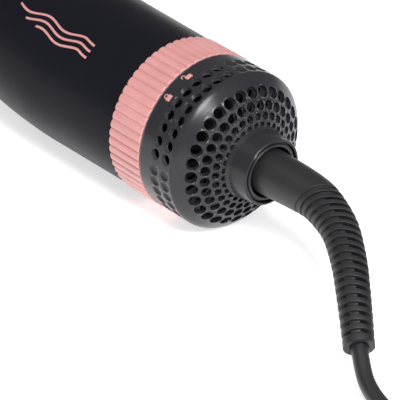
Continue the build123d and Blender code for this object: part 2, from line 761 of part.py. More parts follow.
def cool_shot_button():
    """The round button that stops the heat while it is held."""
    low = PANEL_BOTTOM - 1.0
    button = Pos(BUTTON_STATION, 0, (low + PANEL_TOP + BUTTON_STAND) / 2)
    button *= Cylinder(BUTTON_RADIUS, PANEL_TOP + BUTTON_STAND - low)
    button = fillet(button.faces().sort_by(Axis.Z)[-1].edges(), 0.7)
    foot = Pos(BUTTON_STATION, 0, low - 0.5) * Cylinder(BUTTON_RADIUS - 1.5, 1.0)
    return button + foot


def cool_shot_switch():
    """The push switch below the cool-shot button."""
    top = PANEL_BOTTOM - 2.0 - BUTTON_TRAVEL - PART_GAP
    half = BUTTON_SWITCH / 2
    return block(BUTTON_STATION - half, BUTTON_STATION + half, -half, half, BOARD_TOP, top)


def circuit_board():
    """The board that both switches stand on, held on its edges by the shells."""
    low, high = PANEL_FRONT + 1.0, PANEL_REAR - 1.0
    half = math.sqrt((GRIP_RADIUS - SHELL_WALL) ** 2 - BOARD_TOP**2) - 0.8
    board = block(low, high, -half, half, BOARD_TOP - BOARD_THICKNESS, BOARD_TOP)
    part_low = BOARD_TOP - BOARD_THICKNESS
    for i in range(4):
        x = low + 8 + 8 * i
        board += block(x, x + 5, -3, 3, part_low - 2.6, part_low)
    return board


# ---- Front end ----------------------------------------------------------------------------
def release_opening():
    """The hole in the shell for the head's release button."""
    return Pos(RELEASE_STATION, 0, NECK_RADIUS) * Cylinder(RELEASE_RADIUS + PART_GAP, 14)


def front_trim():
    """The ring round the handle's mouth, with the spout that the brush head plugs onto."""
    trim = tube(TRIM_FRONT + PART_GAP, SHELL_FRONT, TRIM_RADIUS, SPOUT_BORE)
    socket = NECK_RADIUS - SHELL_WALL - 1.0
    trim += tube(SHELL_FRONT, SHELL_FRONT + 4, socket, SPOUT_BORE)
    trim += tube(TRIM_FRONT - SPOUT_REACH, SHELL_FRONT, SPOUT_RADIUS, SPOUT_BORE)
    keeper = tube(SHELL_FRONT + 1, SHELL_FRONT + 3, SPOUT_BORE + RUN_GAP, HEATER_RADIUS + SEAT_GAP)
    return trim + keeper


def release_button():
    """The button that frees the brush head."""
    low = NECK_RADIUS - SHELL_WALL - 1.5
    top = NECK_RADIUS + RELEASE_STAND
    button = Pos(RELEASE_STATION, 0, (low + top) / 2) * Cylinder(RELEASE_RADIUS, top - low)
    button = fillet(button.faces().sort_by(Axis.Z)[-1].edges(), 0.6)
    flange = Pos(RELEASE_STATION, 0, low + 0.4) * Cylinder(RELEASE_RADIUS + 0.1, 0.8)
    return button + flange


# ---- Brush head ---------------------------------------------------------------------------
def head_base():
    """The collar at the barrel's root that plugs onto the handle's spout."""
    base = rod(HEAD_BASE_FRONT, TRIM_FRONT, TRIM_RADIUS)
    front_edge = base.edges().filter_by(GeomType.CIRCLE).sort_by(Axis.X)[0]
    base = fillet(front_edge, HEAD_BASE_ROUNDING)
    return base - rod(HEAD_BASE_FRONT - 1, TRIM_FRONT + 1, SPOUT_RADIUS + RUN_GAP)


def bristle_angle():
    """The turn that puts one row of bristles straight below the axis."""
    return 180 - HANDLE_ROLL


def barrel():
    """The metal barrel with rows of air vents between the bristles."""
    wall = tube(BARREL_FRONT, HEAD_BASE_FRONT, BARREL_RADIUS, BARREL_RADIUS - BARREL_WALL)
    low, high = BARREL_FRONT + VENT_MARGIN, HEAD_BASE_FRONT - VENT_MARGIN
    step = (high - low) / (VENTS_PER_ROW - 1)
    vents = []
    for i in range(VENTS_PER_ROW):
        vent = Pos(low + step * i, 0, BARREL_RADIUS) * Cylinder(VENT_RADIUS, 6)
        vents += around(vent, BRISTLE_ROWS, bristle_angle() + 180 / BRISTLE_ROWS)
    return wall - vents


def bristle_strips():
    """Rows of bristles, each row moulded on its own strip along the barrel."""
    low = BARREL_FRONT + PART_GAP
    high = HEAD_BASE_FRONT - PART_GAP
    foot = BARREL_RADIUS + SEAT_GAP
    strip = block(low, high, -STRIP_WIDTH / 2, STRIP_WIDTH / 2, foot, foot + STRIP_HEIGHT)
    step = (high - low - 2 * BRISTLE_MARGIN) / (BRISTLES_PER_ROW - 1)
    height = BRISTLE_REACH - foot - STRIP_HEIGHT
    for i in range(BRISTLES_PER_ROW):
        stalk = Pos(low + BRISTLE_MARGIN + step * i, 0, foot + STRIP_HEIGHT + height / 2)
        strip += stalk * Cylinder(BRISTLE_RADIUS, height)
    return around(strip, BRISTLE_ROWS, bristle_angle())


def barrel_frame():
    """The plastic spine inside the barrel that the tip is screwed to."""
    low = BARREL_FRONT + PART_GAP
    high = HEATER_FRONT - HEAD_TRAVEL - 3
    high = max(high, low + 12)
    reach = BARREL_RADIUS - BARREL_WALL - SEAT_GAP
    spine = rod(low, high, SPINE_RADIUS)
    fin = block(low, high, -FIN_WIDTH / 2, FIN_WIDTH / 2, 0, reach - PART_GAP)
    for piece in around(fin, 3, 60):
        spine += piece
    return spine - rod(low - 1, low + 9, SCREW_RADIUS)


def cool_tip():
    """The rounded end that stays cool to hold."""
    tip = rod(TIP_FRONT, BARREL_FRONT, BARREL_RADIUS + STRIP_HEIGHT + TIP_STEP)
    tip = fillet(tip.edges().filter_by(GeomType.CIRCLE).sort_by(Axis.X)[0], TIP_ROUNDING)
    tip -= rod(TIP_FRONT - 1, TIP_FRONT + TIP_RECESS, SCREW_HEAD_RADIUS + RUN_GAP)
    return tip - rod(TIP_FRONT - 1, BARREL_FRONT + 1, SCREW_RADIUS + RUN_GAP)


def tip_screw():
    """The screw that holds the tip on the spine."""
    head_rear = TIP_FRONT + TIP_RECESS
    head = rod(head_rear - SCREW_HEAD_HEIGHT, head_rear, SCREW_HEAD_RADIUS)
    shank = rod(head_rear, BARREL_FRONT + 8, SCREW_RADIUS - SEAT_GAP)
    slot = block(TIP_FRONT, head_rear - 0.9, -0.4, 0.4, -1.8, 1.8)
    return head + shank - slot


# ---- Cord ---------------------------------------------------------------------------------
def boot_points():
    """The middle line of the boot from the swivel to its end."""
    points = [Vector(BOOT_START, 0, AXIS_HEIGHT)]
    for behind, side, share in BOOT_LINE:
        points.append(Vector(RIM + behind, side, AXIS_HEIGHT - share * BOOT_DROP))
    return points


def boot_spline():
    """The boot's middle line as one smooth curve that leaves along the axis."""
    return Spline(*boot_points(), tangents=[(1, 0, 0), BOOT_END_DIRECTION])


def strain_relief():
    """The tapered rubber boot, grooved so that it bends."""
    line = boot_spline()
    radii = (BOOT_ROOT_RADIUS,) + BOOT_RADII
    sections = []
    for point, radius in zip(boot_points(), radii):
        share = line.param_at_point(point)
        place = line.position_at(share, position_mode=PositionMode.PARAMETER)
        heading = line.tangent_at(share, position_mode=PositionMode.PARAMETER)
        sections.append(Plane(origin=place, z_dir=heading) * Circle(radius))
    boot = loft(sections)
    washer = Cylinder(BOOT_ROOT_RADIUS + 2, GROOVE_WIDTH)
    washer -= Cylinder(GROOVE_FLOOR, 3 * GROOVE_WIDTH)
    step = (LAST_GROOVE - FIRST_GROOVE) / (BOOT_GROOVES - 1)
    grooves = []
    for i in range(BOOT_GROOVES):
        share = FIRST_GROOVE + step * i
        plane = Plane(origin=line.position_at(share), z_dir=line.tangent_at(share))
        grooves.append(plane * washer)
    return boot - grooves


def cord_points():
    """The cord's route from the boot's end to the coil."""
    start = boot_points()[-1]
    second = start + Vector(*BOOT_END_DIRECTION).normalized() * FIRST_RUN
    return [start, second] + [Vector(RIM + x, y, z) for x, y, z in CORD_ROUTE]


def corner_radii(points):
    """The largest arc that each corner's two runs allow."""
    radii = []
    for before, corner, after in zip(points, points[1:], points[2:]):
        arriving, leaving = corner - before, after - corner
        run = min(arriving.length, leaving.length)
        half_turn = math.radians(arriving.get_angle(leaving)) / 2
        radii.append(0.45 * run / math.tan(half_turn))
    return radii


def swept(points):
    """A cord's tube along runs joined by tangent arcs."""
    path = FilletPolyline(*points, radius=corner_radii(points))
    start = Plane(origin=points[0], z_dir=points[1] - points[0])
    return sweep(start * Circle(CORD_DIAMETER / 2), path=path)


def cord_coil():
    """The coil of the cord's spare length, as one ring of its outer shape."""
    ring = Cylinder(COIL_OUTSIDE, COIL_HEIGHT) - Cylinder(COIL_INSIDE, 2 * COIL_HEIGHT)
    ring = fillet(ring.edges().filter_by(GeomType.CIRCLE), CORD_DIAMETER / 2 - 0.2)
    return Pos(*COIL_CENTRE, COIL_HEIGHT / 2) * ring - coil_tie()


def cord():
    """The cord from the boot to the coil."""
    return swept(cord_points()) - cord_coil()


def cord_tail():
    """The short end of cord from the coil up to the plug."""
    points = [
        Vector(COIL_CENTRE[0], PLUG_Y, TAIL_LOW),
        Vector(COIL_CENTRE[0] - 0.36 * TAIL_LENGTH, PLUG_Y, TAIL_LOW + 0.24 * (PLUG_AXIS - TAIL_LOW)),
        Vector(COIL_CENTRE[0] - 0.69 * TAIL_LENGTH, PLUG_Y, PLUG_AXIS),
        Vector(SLEEVE_END, PLUG_Y, PLUG_AXIS),
    ]
    return swept(points) - cord_coil()


def plug_body():
    """The moulded two-pin plug, lying on its flat side."""
    front = SLEEVE_END - PLUG_SLEEVE
    taper = Cone(CORD_DIAMETER / 2 + 1.0, CORD_DIAMETER / 2 + 3.0, PLUG_SLEEVE)
    sleeve = Pos(front + PLUG_SLEEVE / 2, PLUG_Y, PLUG_AXIS) * Rot(Y=-90) * taper
    body = Box(PLUG_LENGTH, PLUG_WIDTH, PLUG_HEIGHT)
    body = Pos(front - PLUG_LENGTH / 2, PLUG_Y, PLUG_AXIS) * body
    body = fillet(body.edges().filter_by(Axis.X), PLUG_ROUNDING)
    body = fillet(body.faces().sort_by(Axis.X)[-1].edges(), PLUG_REAR_ROUNDING)
    return body + sleeve


def plug_pins():
    """The plug's two round pins."""
    pins = []
    for side in (-1, 1):
        pin = rod(PLUG_FACE - PIN_LENGTH, PLUG_FACE, PIN_RADIUS)
        pin = Pos(0, PLUG_Y + side * PIN_SPACING / 2, PLUG_AXIS) * pin
        pins.append(fillet(pin.edges().filter_by(GeomType.CIRCLE).sort_by(Axis.X)[0], PIN_ROUNDING))
    return pins


def coil_tie():
    """The strap round the coil that holds its turns."""
    middle = (COIL_OUTSIDE + COIL_INSIDE) / 2
    across = COIL_OUTSIDE - COIL_INSIDE
    outer = Box(across + TIE_THICKNESS, TIE_WIDTH, COIL_HEIGHT)
    inner = Box(across - TIE_THICKNESS, TIE_WIDTH + 2, COIL_HEIGHT - 2 * TIE_THICKNESS)
    return Pos(COIL_CENTRE[0] + middle, COIL_CENTRE[1], COIL_HEIGHT / 2) * (outer - inner)


def main():
    """Build every sub-part and write it."""
    os.makedirs("parts", exist_ok=True)
    wall = handle_wall()
    handle_pieces = {
        "upper_shell": upper_shell(wall),
        "lower_shell": lower_shell(wall),
        "shell_screws": shell_screws(),
        "rear_frame": rear_frame(),
        "lock_ring": lock_ring(),
        "intake_cap": intake_cap(),
        "dust_screen": dust_screen(),
        "swivel_retainer": swivel_retainer(),
        "contact_carrier": contact_carrier(),
        "contact_pins": contact_pins(),
        "air_guide": air_guide(),
        "rubber_damper": rubber_damper(),
        "motor_can": motor_can(),
        "motor_magnets": motor_magnets(),
        "motor_end_cap": motor_end_cap(),
        "motor_shaft": motor_shaft(),
        "armature": armature(),
        "fan": fan(),
        "heater_sleeve": heater_sleeve(),
        "mica_cross": mica_cross(),
        "heater_coil": heater_coil(),
        "thermostat": thermostat(),
        "thermal_fuse": thermal_fuse(),
        "control_panel": control_panel(),
        "switch_slider": switch_slider(),
        "switch_body": switch_body(),
        "cool_shot_button": cool_shot_button(),
        "cool_shot_switch": cool_shot_switch(),
        "circuit_board": circuit_board(),
        "front_trim": front_trim(),
        "release_button": release_button(),
        "head_base": head_base(),
        "barrel": barrel(),
        "bristle_strips": bristle_strips(),
        "barrel_frame": barrel_frame(),
        "cool_tip": cool_tip(),
        "tip_screw": tip_screw(),
    }
    axis_pieces = {
        "swivel_rotor": swivel_rotor(),
        "slip_rings": slip_rings(),
    }
    lying_pieces = {
        "strain_relief": strain_relief(),
        "cord": cord(),
        "cord_coil": cord_coil(),
        "cord_tail": cord_tail(),
        "coil_tie": coil_tie(),
        "plug_body": plug_body(),
        "plug_pins": plug_pins(),
    }
    for name, piece in handle_pieces.items():
        pieces = piece if isinstance(piece, list) else [piece]
        write(name, [seat(p) for p in pieces])
    for name, piece in axis_pieces.items():
        pieces = piece if isinstance(piece, list) else [piece]
        write(name, [Pos(0, 0, AXIS_HEIGHT) * p for p in pieces])
    for name, piece in lying_pieces.items():
        write(name, piece if isinstance(piece, list) else [piece])


main()
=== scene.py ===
"""Hot air brush: the looks of a vented round brush on a blower handle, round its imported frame.

Everything is in metres, in the frame's own axes: +X runs from the brush's tip to the cord, +Z is
up, and the brush lies on z = 0. A turned piece is drawn as an outline of (station along X, radius).
"""

import logging
import math
from bisect import bisect_left
from collections.abc import Callable, Iterable, Sequence
from dataclasses import dataclass, field
from enum import Enum
from itertools import accumulate, pairwise

import bmesh
import bpy
from bmesh.types import BMEdge, BMesh, BMFace, BMVert
from bpy.types import NodeSocket, NodeTree, Object
from mathutils import Matrix, Vector


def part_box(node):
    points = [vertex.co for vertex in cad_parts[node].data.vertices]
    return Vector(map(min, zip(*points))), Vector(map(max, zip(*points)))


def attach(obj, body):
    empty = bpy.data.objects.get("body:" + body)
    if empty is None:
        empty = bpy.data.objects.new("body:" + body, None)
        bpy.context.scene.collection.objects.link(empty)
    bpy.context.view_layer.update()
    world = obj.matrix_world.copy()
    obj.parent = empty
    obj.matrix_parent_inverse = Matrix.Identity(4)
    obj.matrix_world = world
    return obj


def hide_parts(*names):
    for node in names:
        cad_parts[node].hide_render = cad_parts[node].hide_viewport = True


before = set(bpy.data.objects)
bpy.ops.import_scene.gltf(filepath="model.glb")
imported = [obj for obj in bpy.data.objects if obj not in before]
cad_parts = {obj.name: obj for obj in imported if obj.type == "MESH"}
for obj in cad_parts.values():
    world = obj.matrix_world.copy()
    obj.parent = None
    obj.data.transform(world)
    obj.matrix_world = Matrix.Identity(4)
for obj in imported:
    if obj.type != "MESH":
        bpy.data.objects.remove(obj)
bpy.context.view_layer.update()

log = logging.getLogger("hot_air_brush")

MM = 0.001
TAU = math.tau
Colour = tuple[float, float, float]
Corner = tuple[float, float, float]
Outline = Sequence[tuple[float, float]]


class Body(Enum):
    """The moving bodies that the new pieces ride on."""

    CORD = "cord_set"
    HANDLE = "handle"
    RING = "lock_ring"
    CAP = "intake_cap"


# ---- Finishes ------------------------------------------------------------------------------
VECTOR, NUMBER, COLOUR = "NodeSocketVector", "NodeSocketFloat", "NodeSocketColor"
BROAD_SCALE = 90.0
# How finely the lighter edges break up, as wear and as a painted highlight.
WEAR_AND_SHEEN_SCALE = 700.0


def group_tree(name: str, inputs: dict[str, str], outputs: dict[str, str]) -> NodeTree:
    """Start a shader node group.

    Args:
        name: What the group is called.
        inputs: Socket type of each input, by name.
        outputs: Socket type of each output, by name.

    Returns:
        The new tree, with a node named in and a node named out.
    """
    tree = bpy.data.node_groups.new(name, "ShaderNodeTree")
    for label, kind in inputs.items():
        tree.interface.new_socket(label, in_out="INPUT", socket_type=kind)
    for label, kind in outputs.items():
        tree.interface.new_socket(label, in_out="OUTPUT", socket_type=kind)
    tree.nodes.new("NodeGroupInput").name = "in"
    tree.nodes.new("NodeGroupOutput").name = "out"
    return tree


def maths(tree: NodeTree, operation: str, first: object, second: object) -> NodeSocket:
    """Add a Math node.

    Args:
        tree: Where it goes.
        operation: Blender's name of the operation.
        first: A socket or a number.
        second: A socket or a number.

    Returns:
        The node's output.
    """
    node = tree.nodes.new("ShaderNodeMath")
    node.operation = operation
    for socket, value in zip(node.inputs, (first, second)):
        if isinstance(value, NodeSocket):
            tree.links.new(value, socket)
        else:
            socket.default_value = value
    return node.outputs[0]


def noise(tree: NodeTree, vector: NodeSocket, scale: object, detail: float) -> NodeSocket:
    """Add a Noise Texture.

    Args:
        tree: Where it goes.
        vector: The coordinates.
        scale: A socket or a number, per metre.
        detail: How many finer layers it has.

    Returns:
        The node's value.
    """
    node = tree.nodes.new("ShaderNodeTexNoise")
    tree.links.new(vector, node.inputs["Vector"])
    if isinstance(scale, NodeSocket):
        tree.links.new(scale, node.inputs["Scale"])
    else:
        node.inputs["Scale"].default_value = scale
    node.inputs["Detail"].default_value = detail
    return node.outputs[0]


def steepened(tree: NodeTree, value: NodeSocket, low: float, high: float) -> NodeSocket:
    """Stretch a span of values over 0 to 1.

    Args:
        tree: Where the Map Range goes.
        value: What is stretched.
        low: The value that becomes 0.
        high: The value that becomes 1.

    Returns:
        The node's output.
    """
    node = tree.nodes.new("ShaderNodeMapRange")
    node.inputs["From Min"].default_value = low
    node.inputs["From Max"].default_value = high
    tree.links.new(value, node.inputs["Value"])
    return node.outputs[0]


def mixed(tree: NodeTree, share: NodeSocket, first: str, second: str) -> None:
    """Mix two of a group's input colours into its output colour.

    Args:
        tree: The group, which has an output named Colour.
        share: How much of the second colour there is.
        first: The input that holds the first colour.
        second: The input that holds the second colour.
    """
    node = tree.nodes.new("ShaderNodeMix")
    node.data_type = "RGBA"
    node.clamp_factor = True
    given = tree.nodes["in"].outputs
    for source, label in ((share, "Factor"), (given[first], "A"), (given[second], "B")):
        tree.links.new(source, node.inputs[label])
    tree.links.new(node.outputs["Result"], tree.nodes["out"].inputs["Colour"])


def moulded_grain() -> NodeTree:
    """The fine texture of a moulded surface: a height in metres, and a roughness that varies."""
    tree = group_tree(
        "moulded_grain",
        {"Vector": VECTOR, "Scale": NUMBER, "Depth": NUMBER, "Roughness": NUMBER, "Spread": NUMBER},
        {"Height": NUMBER, "Roughness": NUMBER},
    )
    given, out = tree.nodes["in"].outputs, tree.nodes["out"].inputs
    fine = noise(tree, given["Vector"], given["Scale"], 3.0)
    broad = noise(tree, given["Vector"], BROAD_SCALE, 4.0)
    tree.links.new(maths(tree, "MULTIPLY", fine, given["Depth"]), out["Height"])
    layers = ((fine, 0.4), (broad, 1.2))
    both = maths(tree, "ADD", *(maths(tree, "MULTIPLY", layer, weight) for layer, weight in layers))
    centred = maths(tree, "SUBTRACT", both, 0.8)
    shift = maths(tree, "MULTIPLY", centred, given["Spread"])
    tree.links.new(maths(tree, "ADD", given["Roughness"], shift), out["Roughness"])
    return tree


def colour_drift() -> NodeTree:
    """A slow drift between two near shades over the surface."""
    sockets = {"Vector": VECTOR, "Scale": NUMBER, "Colour": COLOUR, "Tint": COLOUR}
    tree = group_tree("colour_drift", sockets, {"Colour": COLOUR})
    given = tree.nodes["in"].outputs
    slow = noise(tree, given["Vector"], given["Scale"], 2.0)
    mixed(tree, steepened(tree, slow, 0.35, 0.65), "Colour", "Tint")
    return tree


def edge_wear_and_sheen() -> NodeTree:
    """Lighter sharp edges, partly rubbed wear and partly a painted highlight: a mask from the
    surface's own sharpness, broken up by noise.
    """
    sockets = {"Vector": VECTOR, "Amount": NUMBER, "Colour": COLOUR, "Worn_and_sheen": COLOUR}
    tree = group_tree("edge_wear_and_sheen", sockets, {"Colour": COLOUR})
    given = tree.nodes["in"].outputs
    pointed = tree.nodes.new("ShaderNodeNewGeometry").outputs["Pointiness"]
    sharp = steepened(tree, pointed, 0.52, 0.62)
    patchy = noise(tree, given["Vector"], WEAR_AND_SHEEN_SCALE, 4.0)
    # The lighter edge colour: partly wear, partly a painted highlight along rims.
    wear_and_sheen_mask = maths(tree, "MULTIPLY", maths(tree, "MULTIPLY", sharp, patchy), given["Amount"])
    mixed(tree, wear_and_sheen_mask, "Colour", "Worn_and_sheen")
    return tree


EFFECTS: dict[str, Callable[[], NodeTree]] = {
    "moulded_grain": moulded_grain,
    "colour_drift": colour_drift,
    "edge_wear_and_sheen": edge_wear_and_sheen,
}


@dataclass(frozen=True)
class Finish:
    """A surface finish and the record's slot that it stands for."""

    slot: str
    colour: Colour
    tint: Colour
    roughness: float
    spread: float = 0.12
    metallic: float = 0.0
    grain: float = 0.30 * MM
    depth: float = 0.006 * MM
    drift: float = 30 * MM
    # How far sharp edges lighten towards the edge colour, as wear and as a painted highlight.
    wear_and_sheen: float = 0.0
    worn_and_sheen: Colour = (0.3, 0.3, 0.3)
    coat: float = 0.0
    coat_roughness: float = 0.1
    specular: float = 0.5
    stretch: Colour = (1.0, 1.0, 1.0)

    def effect(self, tree: NodeTree, name: str, links: dict[str, NodeSocket],
               values: dict[str, object]) -> dict[str, NodeSocket]:
        """Place one of the shared effects in a material.

        Args:
            tree: The material's tree.
            name: The effect's name.
            links: Sockets that feed its inputs, by input.
            values: Numbers and colours for its other inputs.

        Returns:
            The group node's outputs.
        """
        node = tree.nodes.new("ShaderNodeGroup")
        node.node_tree = bpy.data.node_groups.get(name) or EFFECTS[name]()
        for label, socket in links.items():
            tree.links.new(socket, node.inputs[label])
        for label, value in values.items():
            node.inputs[label].default_value = value
        return node.outputs

    def material(self) -> bpy.types.Material:
        """Build the finish's material once, and return it."""
        found = bpy.data.materials.get(f"finish_{self.slot}")
        if found:
            return found
        made = bpy.data.materials.new(f"finish_{self.slot}")
        made.use_nodes = True
        tree = made.node_tree
        shader = tree.nodes["Principled BSDF"]
        place = tree.nodes.new("ShaderNodeTexCoord").outputs["Object"]
        spread = tree.nodes.new("ShaderNodeMapping")
        spread.inputs["Scale"].default_value = self.stretch
        tree.links.new(place, spread.inputs["Vector"])
        vector = spread.outputs["Vector"]
        drifted = self.effect(
            tree, "colour_drift", {"Vector": place},
            {"Scale": 1 / self.drift, "Colour": (*self.colour, 1), "Tint": (*self.tint, 1)},
        )
        colour = drifted["Colour"]
        # Sharp edges lighten here: wear, and a painted highlight along rims.
        if self.wear_and_sheen:
            worn_and_sheen = self.effect(
                tree, "edge_wear_and_sheen", {"Vector": place, "Colour": colour},
                {"Amount": self.wear_and_sheen, "Worn_and_sheen": (*self.worn_and_sheen, 1)},
            )
            colour = worn_and_sheen["Colour"]
        grained = self.effect(
            tree, "moulded_grain", {"Vector": vector},
            {"Scale": 1 / self.grain, "Depth": self.depth, "Roughness": self.roughness,
             "Spread": self.spread},
        )
        bump = tree.nodes.new("ShaderNodeBump")
        bump.inputs["Distance"].default_value = 1.0
        tree.links.new(grained["Height"], bump.inputs["Height"])
        tree.links.new(bump.outputs["Normal"], shader.inputs["Normal"])
        tree.links.new(colour, shader.inputs["Base Color"])
        tree.links.new(grained["Roughness"], shader.inputs["Roughness"])
        shader.inputs["Metallic"].default_value = self.metallic
        shader.inputs["Coat Weight"].default_value = self.coat
        shader.inputs["Coat Roughness"].default_value = self.coat_roughness
        shader.inputs["Specular IOR Level"].default_value = self.specular
        return made


SHELL = Finish("shell_black", (0.0085, 0.0085, 0.0130), (0.0070, 0.0070, 0.0110), 0.34,
               grain=0.35 * MM, depth=0.004 * MM, wear_and_sheen=0.25, worn_and_sheen=(0.05, 0.05, 0.055), specular=0.05)
ROSE = Finish("ring_rose", (0.58, 0.270, 0.266), (0.53, 0.240, 0.236), 0.38, grain=0.20 * MM,
              depth=0.003 * MM, wear_and_sheen=0.6, worn_and_sheen=(0.78, 0.46, 0.44), drift=12 * MM)
# The cap's light edge colour is a painted highlight: light rims round every hole, standing for the
# glint on their rounded lips.
CAP = Finish("cap_black", (0.0200, 0.0195, 0.0240), (0.0160, 0.0160, 0.0200), 0.25, spread=0.12,
             grain=0.28 * MM, depth=0.004 * MM, wear_and_sheen=1.0, worn_and_sheen=(0.30, 0.30, 0.32), specular=0.27)
FRAME = Finish("frame_black", (0.012, 0.012, 0.014), (0.010, 0.010, 0.012), 0.40)
GUIDE = Finish("guide_grey", (0.045, 0.046, 0.050), (0.038, 0.039, 0.043), 0.5)
PANEL = Finish("panel_gloss", (0.010, 0.010, 0.012), (0.012, 0.012, 0.014), 0.10, spread=0.05,
               depth=0.0005 * MM, coat=0.6, coat_roughness=0.04)
BUTTON = Finish("button_rose", (0.57, 0.268, 0.268), (0.53, 0.240, 0.240), 0.35, grain=0.20 * MM,
                depth=0.003 * MM, wear_and_sheen=0.4, worn_and_sheen=(0.78, 0.46, 0.44))
TRIM = Finish("trim_rose", (0.80, 0.42, 0.37), (0.74, 0.36, 0.32), 0.22, metallic=0.85,
              grain=0.5 * MM, depth=0.001 * MM)
SCREW = Finish("screw_steel", (0.50, 0.50, 0.51), (0.42, 0.42, 0.43), 0.30, metallic=1.0,
               depth=0.002 * MM, wear_and_sheen=0.3, worn_and_sheen=(0.7, 0.7, 0.7))
SCREEN = Finish("screen_steel", (0.10, 0.10, 0.105), (0.07, 0.07, 0.075), 0.35, metallic=1.0,
                grain=0.15 * MM)
MOTOR = Finish("motor_steel", (0.45, 0.46, 0.47), (0.38, 0.38, 0.40), 0.32, metallic=1.0,
               stretch=(1.0, 8.0, 8.0))
MAGNET = Finish("magnet_grey", (0.05, 0.05, 0.052), (0.04, 0.04, 0.042), 0.6)
ARMATURE = Finish("armature_steel", (0.30, 0.29, 0.28), (0.42, 0.24, 0.12), 0.4, metallic=0.9,
                  drift=4 * MM)
BRASS = Finish("brass", (0.72, 0.50, 0.20), (0.62, 0.42, 0.16), 0.25, metallic=1.0)
WIRE = Finish("heating_wire", (0.26, 0.24, 0.22), (0.20, 0.17, 0.15), 0.35, metallic=1.0)
MICA = Finish("mica", (0.46, 0.38, 0.27), (0.36, 0.29, 0.20), 0.30, grain=1.2 * MM, depth=0.02 * MM,
              drift=6 * MM, coat=0.3)
FAN_WHITE = Finish("fan_white", (0.62, 0.62, 0.60), (0.56, 0.56, 0.54), 0.45)
BOARD = Finish("board_green", (0.020, 0.10, 0.045), (0.015, 0.08, 0.035), 0.35, drift=5 * MM)
BARREL = Finish("barrel_coat", (0.030, 0.028, 0.028), (0.022, 0.021, 0.022), 0.24, metallic=0.35,
                grain=0.12 * MM, depth=0.002 * MM, coat=0.3, coat_roughness=0.12)
BRISTLE = Finish("bristle_nylon", (0.030, 0.030, 0.034), (0.022, 0.022, 0.026), 0.40)
RUBBER = Finish("rubber_black", (0.0150, 0.0150, 0.0165), (0.0115, 0.0115, 0.0130), 0.50,
                grain=0.22 * MM, depth=0.008 * MM, specular=0.45)
CORD = Finish("cord_black", (0.014, 0.014, 0.0155), (0.011, 0.011, 0.0125), 0.48, grain=0.18 * MM,
              depth=0.006 * MM)
TIE = Finish("tie_black", (0.020, 0.020, 0.022), (0.015, 0.015, 0.017), 0.45)
NICKEL = Finish("plug_nickel", (0.62, 0.60, 0.56), (0.55, 0.53, 0.50), 0.18, metallic=1.0,
                stretch=(1.0, 6.0, 6.0))


# ---- The frame's stations ------------------------------------------------------------------
@dataclass(frozen=True)
class Stations:
    """Places along the axis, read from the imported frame."""

    axis_height: float
    ring_front: float
    ring_rear: float
    rim: float
    shell_front: float
    trim_front: float

    @classmethod
    def read(cls) -> "Stations":
        """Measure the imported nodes."""
        ring_low, ring_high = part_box("lock_ring")
        return cls(
            axis_height=(ring_low.z + ring_high.z) / 2,
            ring_front=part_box("upper_shell")[1].x,
            ring_rear=ring_high.x,
            rim=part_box("intake_cap")[1].x,
            shell_front=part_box("upper_shell")[0].x,
            trim_front=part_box("head_base")[1].x,
        )


AT = Stations.read()
HANDLE_ROLL = math.radians(40)
ON_AXIS = Matrix.Translation((0, 0, AT.axis_height))
ROLLED = ON_AXIS @ Matrix.Rotation(HANDLE_ROLL, 4, "X")
X_TO_Z = Matrix.Rotation(-TAU / 4, 4, "Y")


# ---- Mesh tools ----------------------------------------------------------------------------
def rounded(corners: Iterable[Corner], closed: bool = False, steps: int = 4) -> Outline:
    """Turn corners with a radius each into an outline whose corners are arcs.

    Args:
        corners: Station, distance from the axis and corner radius of each corner.
        closed: Whether the last corner joins the first.
        steps: How many pieces an arc has.

    Returns:
        The outline's points.
    """
    corners = list(corners)
    points = []
    for index, (x, r, radius) in enumerate(corners):
        here = Vector((x, 0, r))
        loose_end = not closed and index in (0, len(corners) - 1)
        if radius <= 0 or loose_end:
            points.append((x, r))
            continue
        x_before, r_before, _ = corners[index - 1]
        x_after, r_after, _ = corners[(index + 1) % len(corners)]
        to_before = (Vector((x_before, 0, r_before)) - here).normalized()
        to_after = (Vector((x_after, 0, r_after)) - here).normalized()
        half = to_before.angle(to_after) / 2
        centre = here + (to_before + to_after).normalized() * radius / math.sin(half)
        first = here + to_before * radius / math.tan(half) - centre
        last = here + to_after * radius / math.tan(half) - centre
        for step in range(steps + 1):
            place = centre + first.slerp(last, step / steps).normalized() * radius
            points.append((place.x, place.z))
    return points


def spot(marks: Sequence[float], value: float) -> tuple[int, float]:
    """Find which span between rising marks a value lies in, and its share of that span."""
    index = min(max(bisect_left(marks, value) - 1, 0), len(marks) - 2)
    return index, (value - marks[index]) / (marks[index + 1] - marks[index])


def lengths(points: Sequence[Vector]) -> list[float]:
    """The length of a line of points up to each of them."""
    return list(accumulate(((b - a).length for a, b in pairwise(points)), initial=0.0))


def flowing(points: Outline, steps: int = 8) -> Outline:
    """A smooth line through points, by Catmull and Rom's rule.

    Args:
        points: The points to pass through.
        steps: How many pieces each span has.

    Returns:
        The line's points.
    """
    ends = [points[0], *points, points[-1]]
    line = []
    for before, a, b, after in zip(ends, ends[1:], ends[2:], ends[3:]):
        for step in range(steps):
            t = step / steps
            line.append(tuple(
                0.5 * (2 * q + (r - p) * t + (2 * p - 5 * q + 4 * r - s) * t * t
                       + (3 * q - p - 3 * r + s) * t**3)
                for p, q, r, s in zip(before, a, b, after)
            ))
    line.append(tuple(points[-1]))
    return line


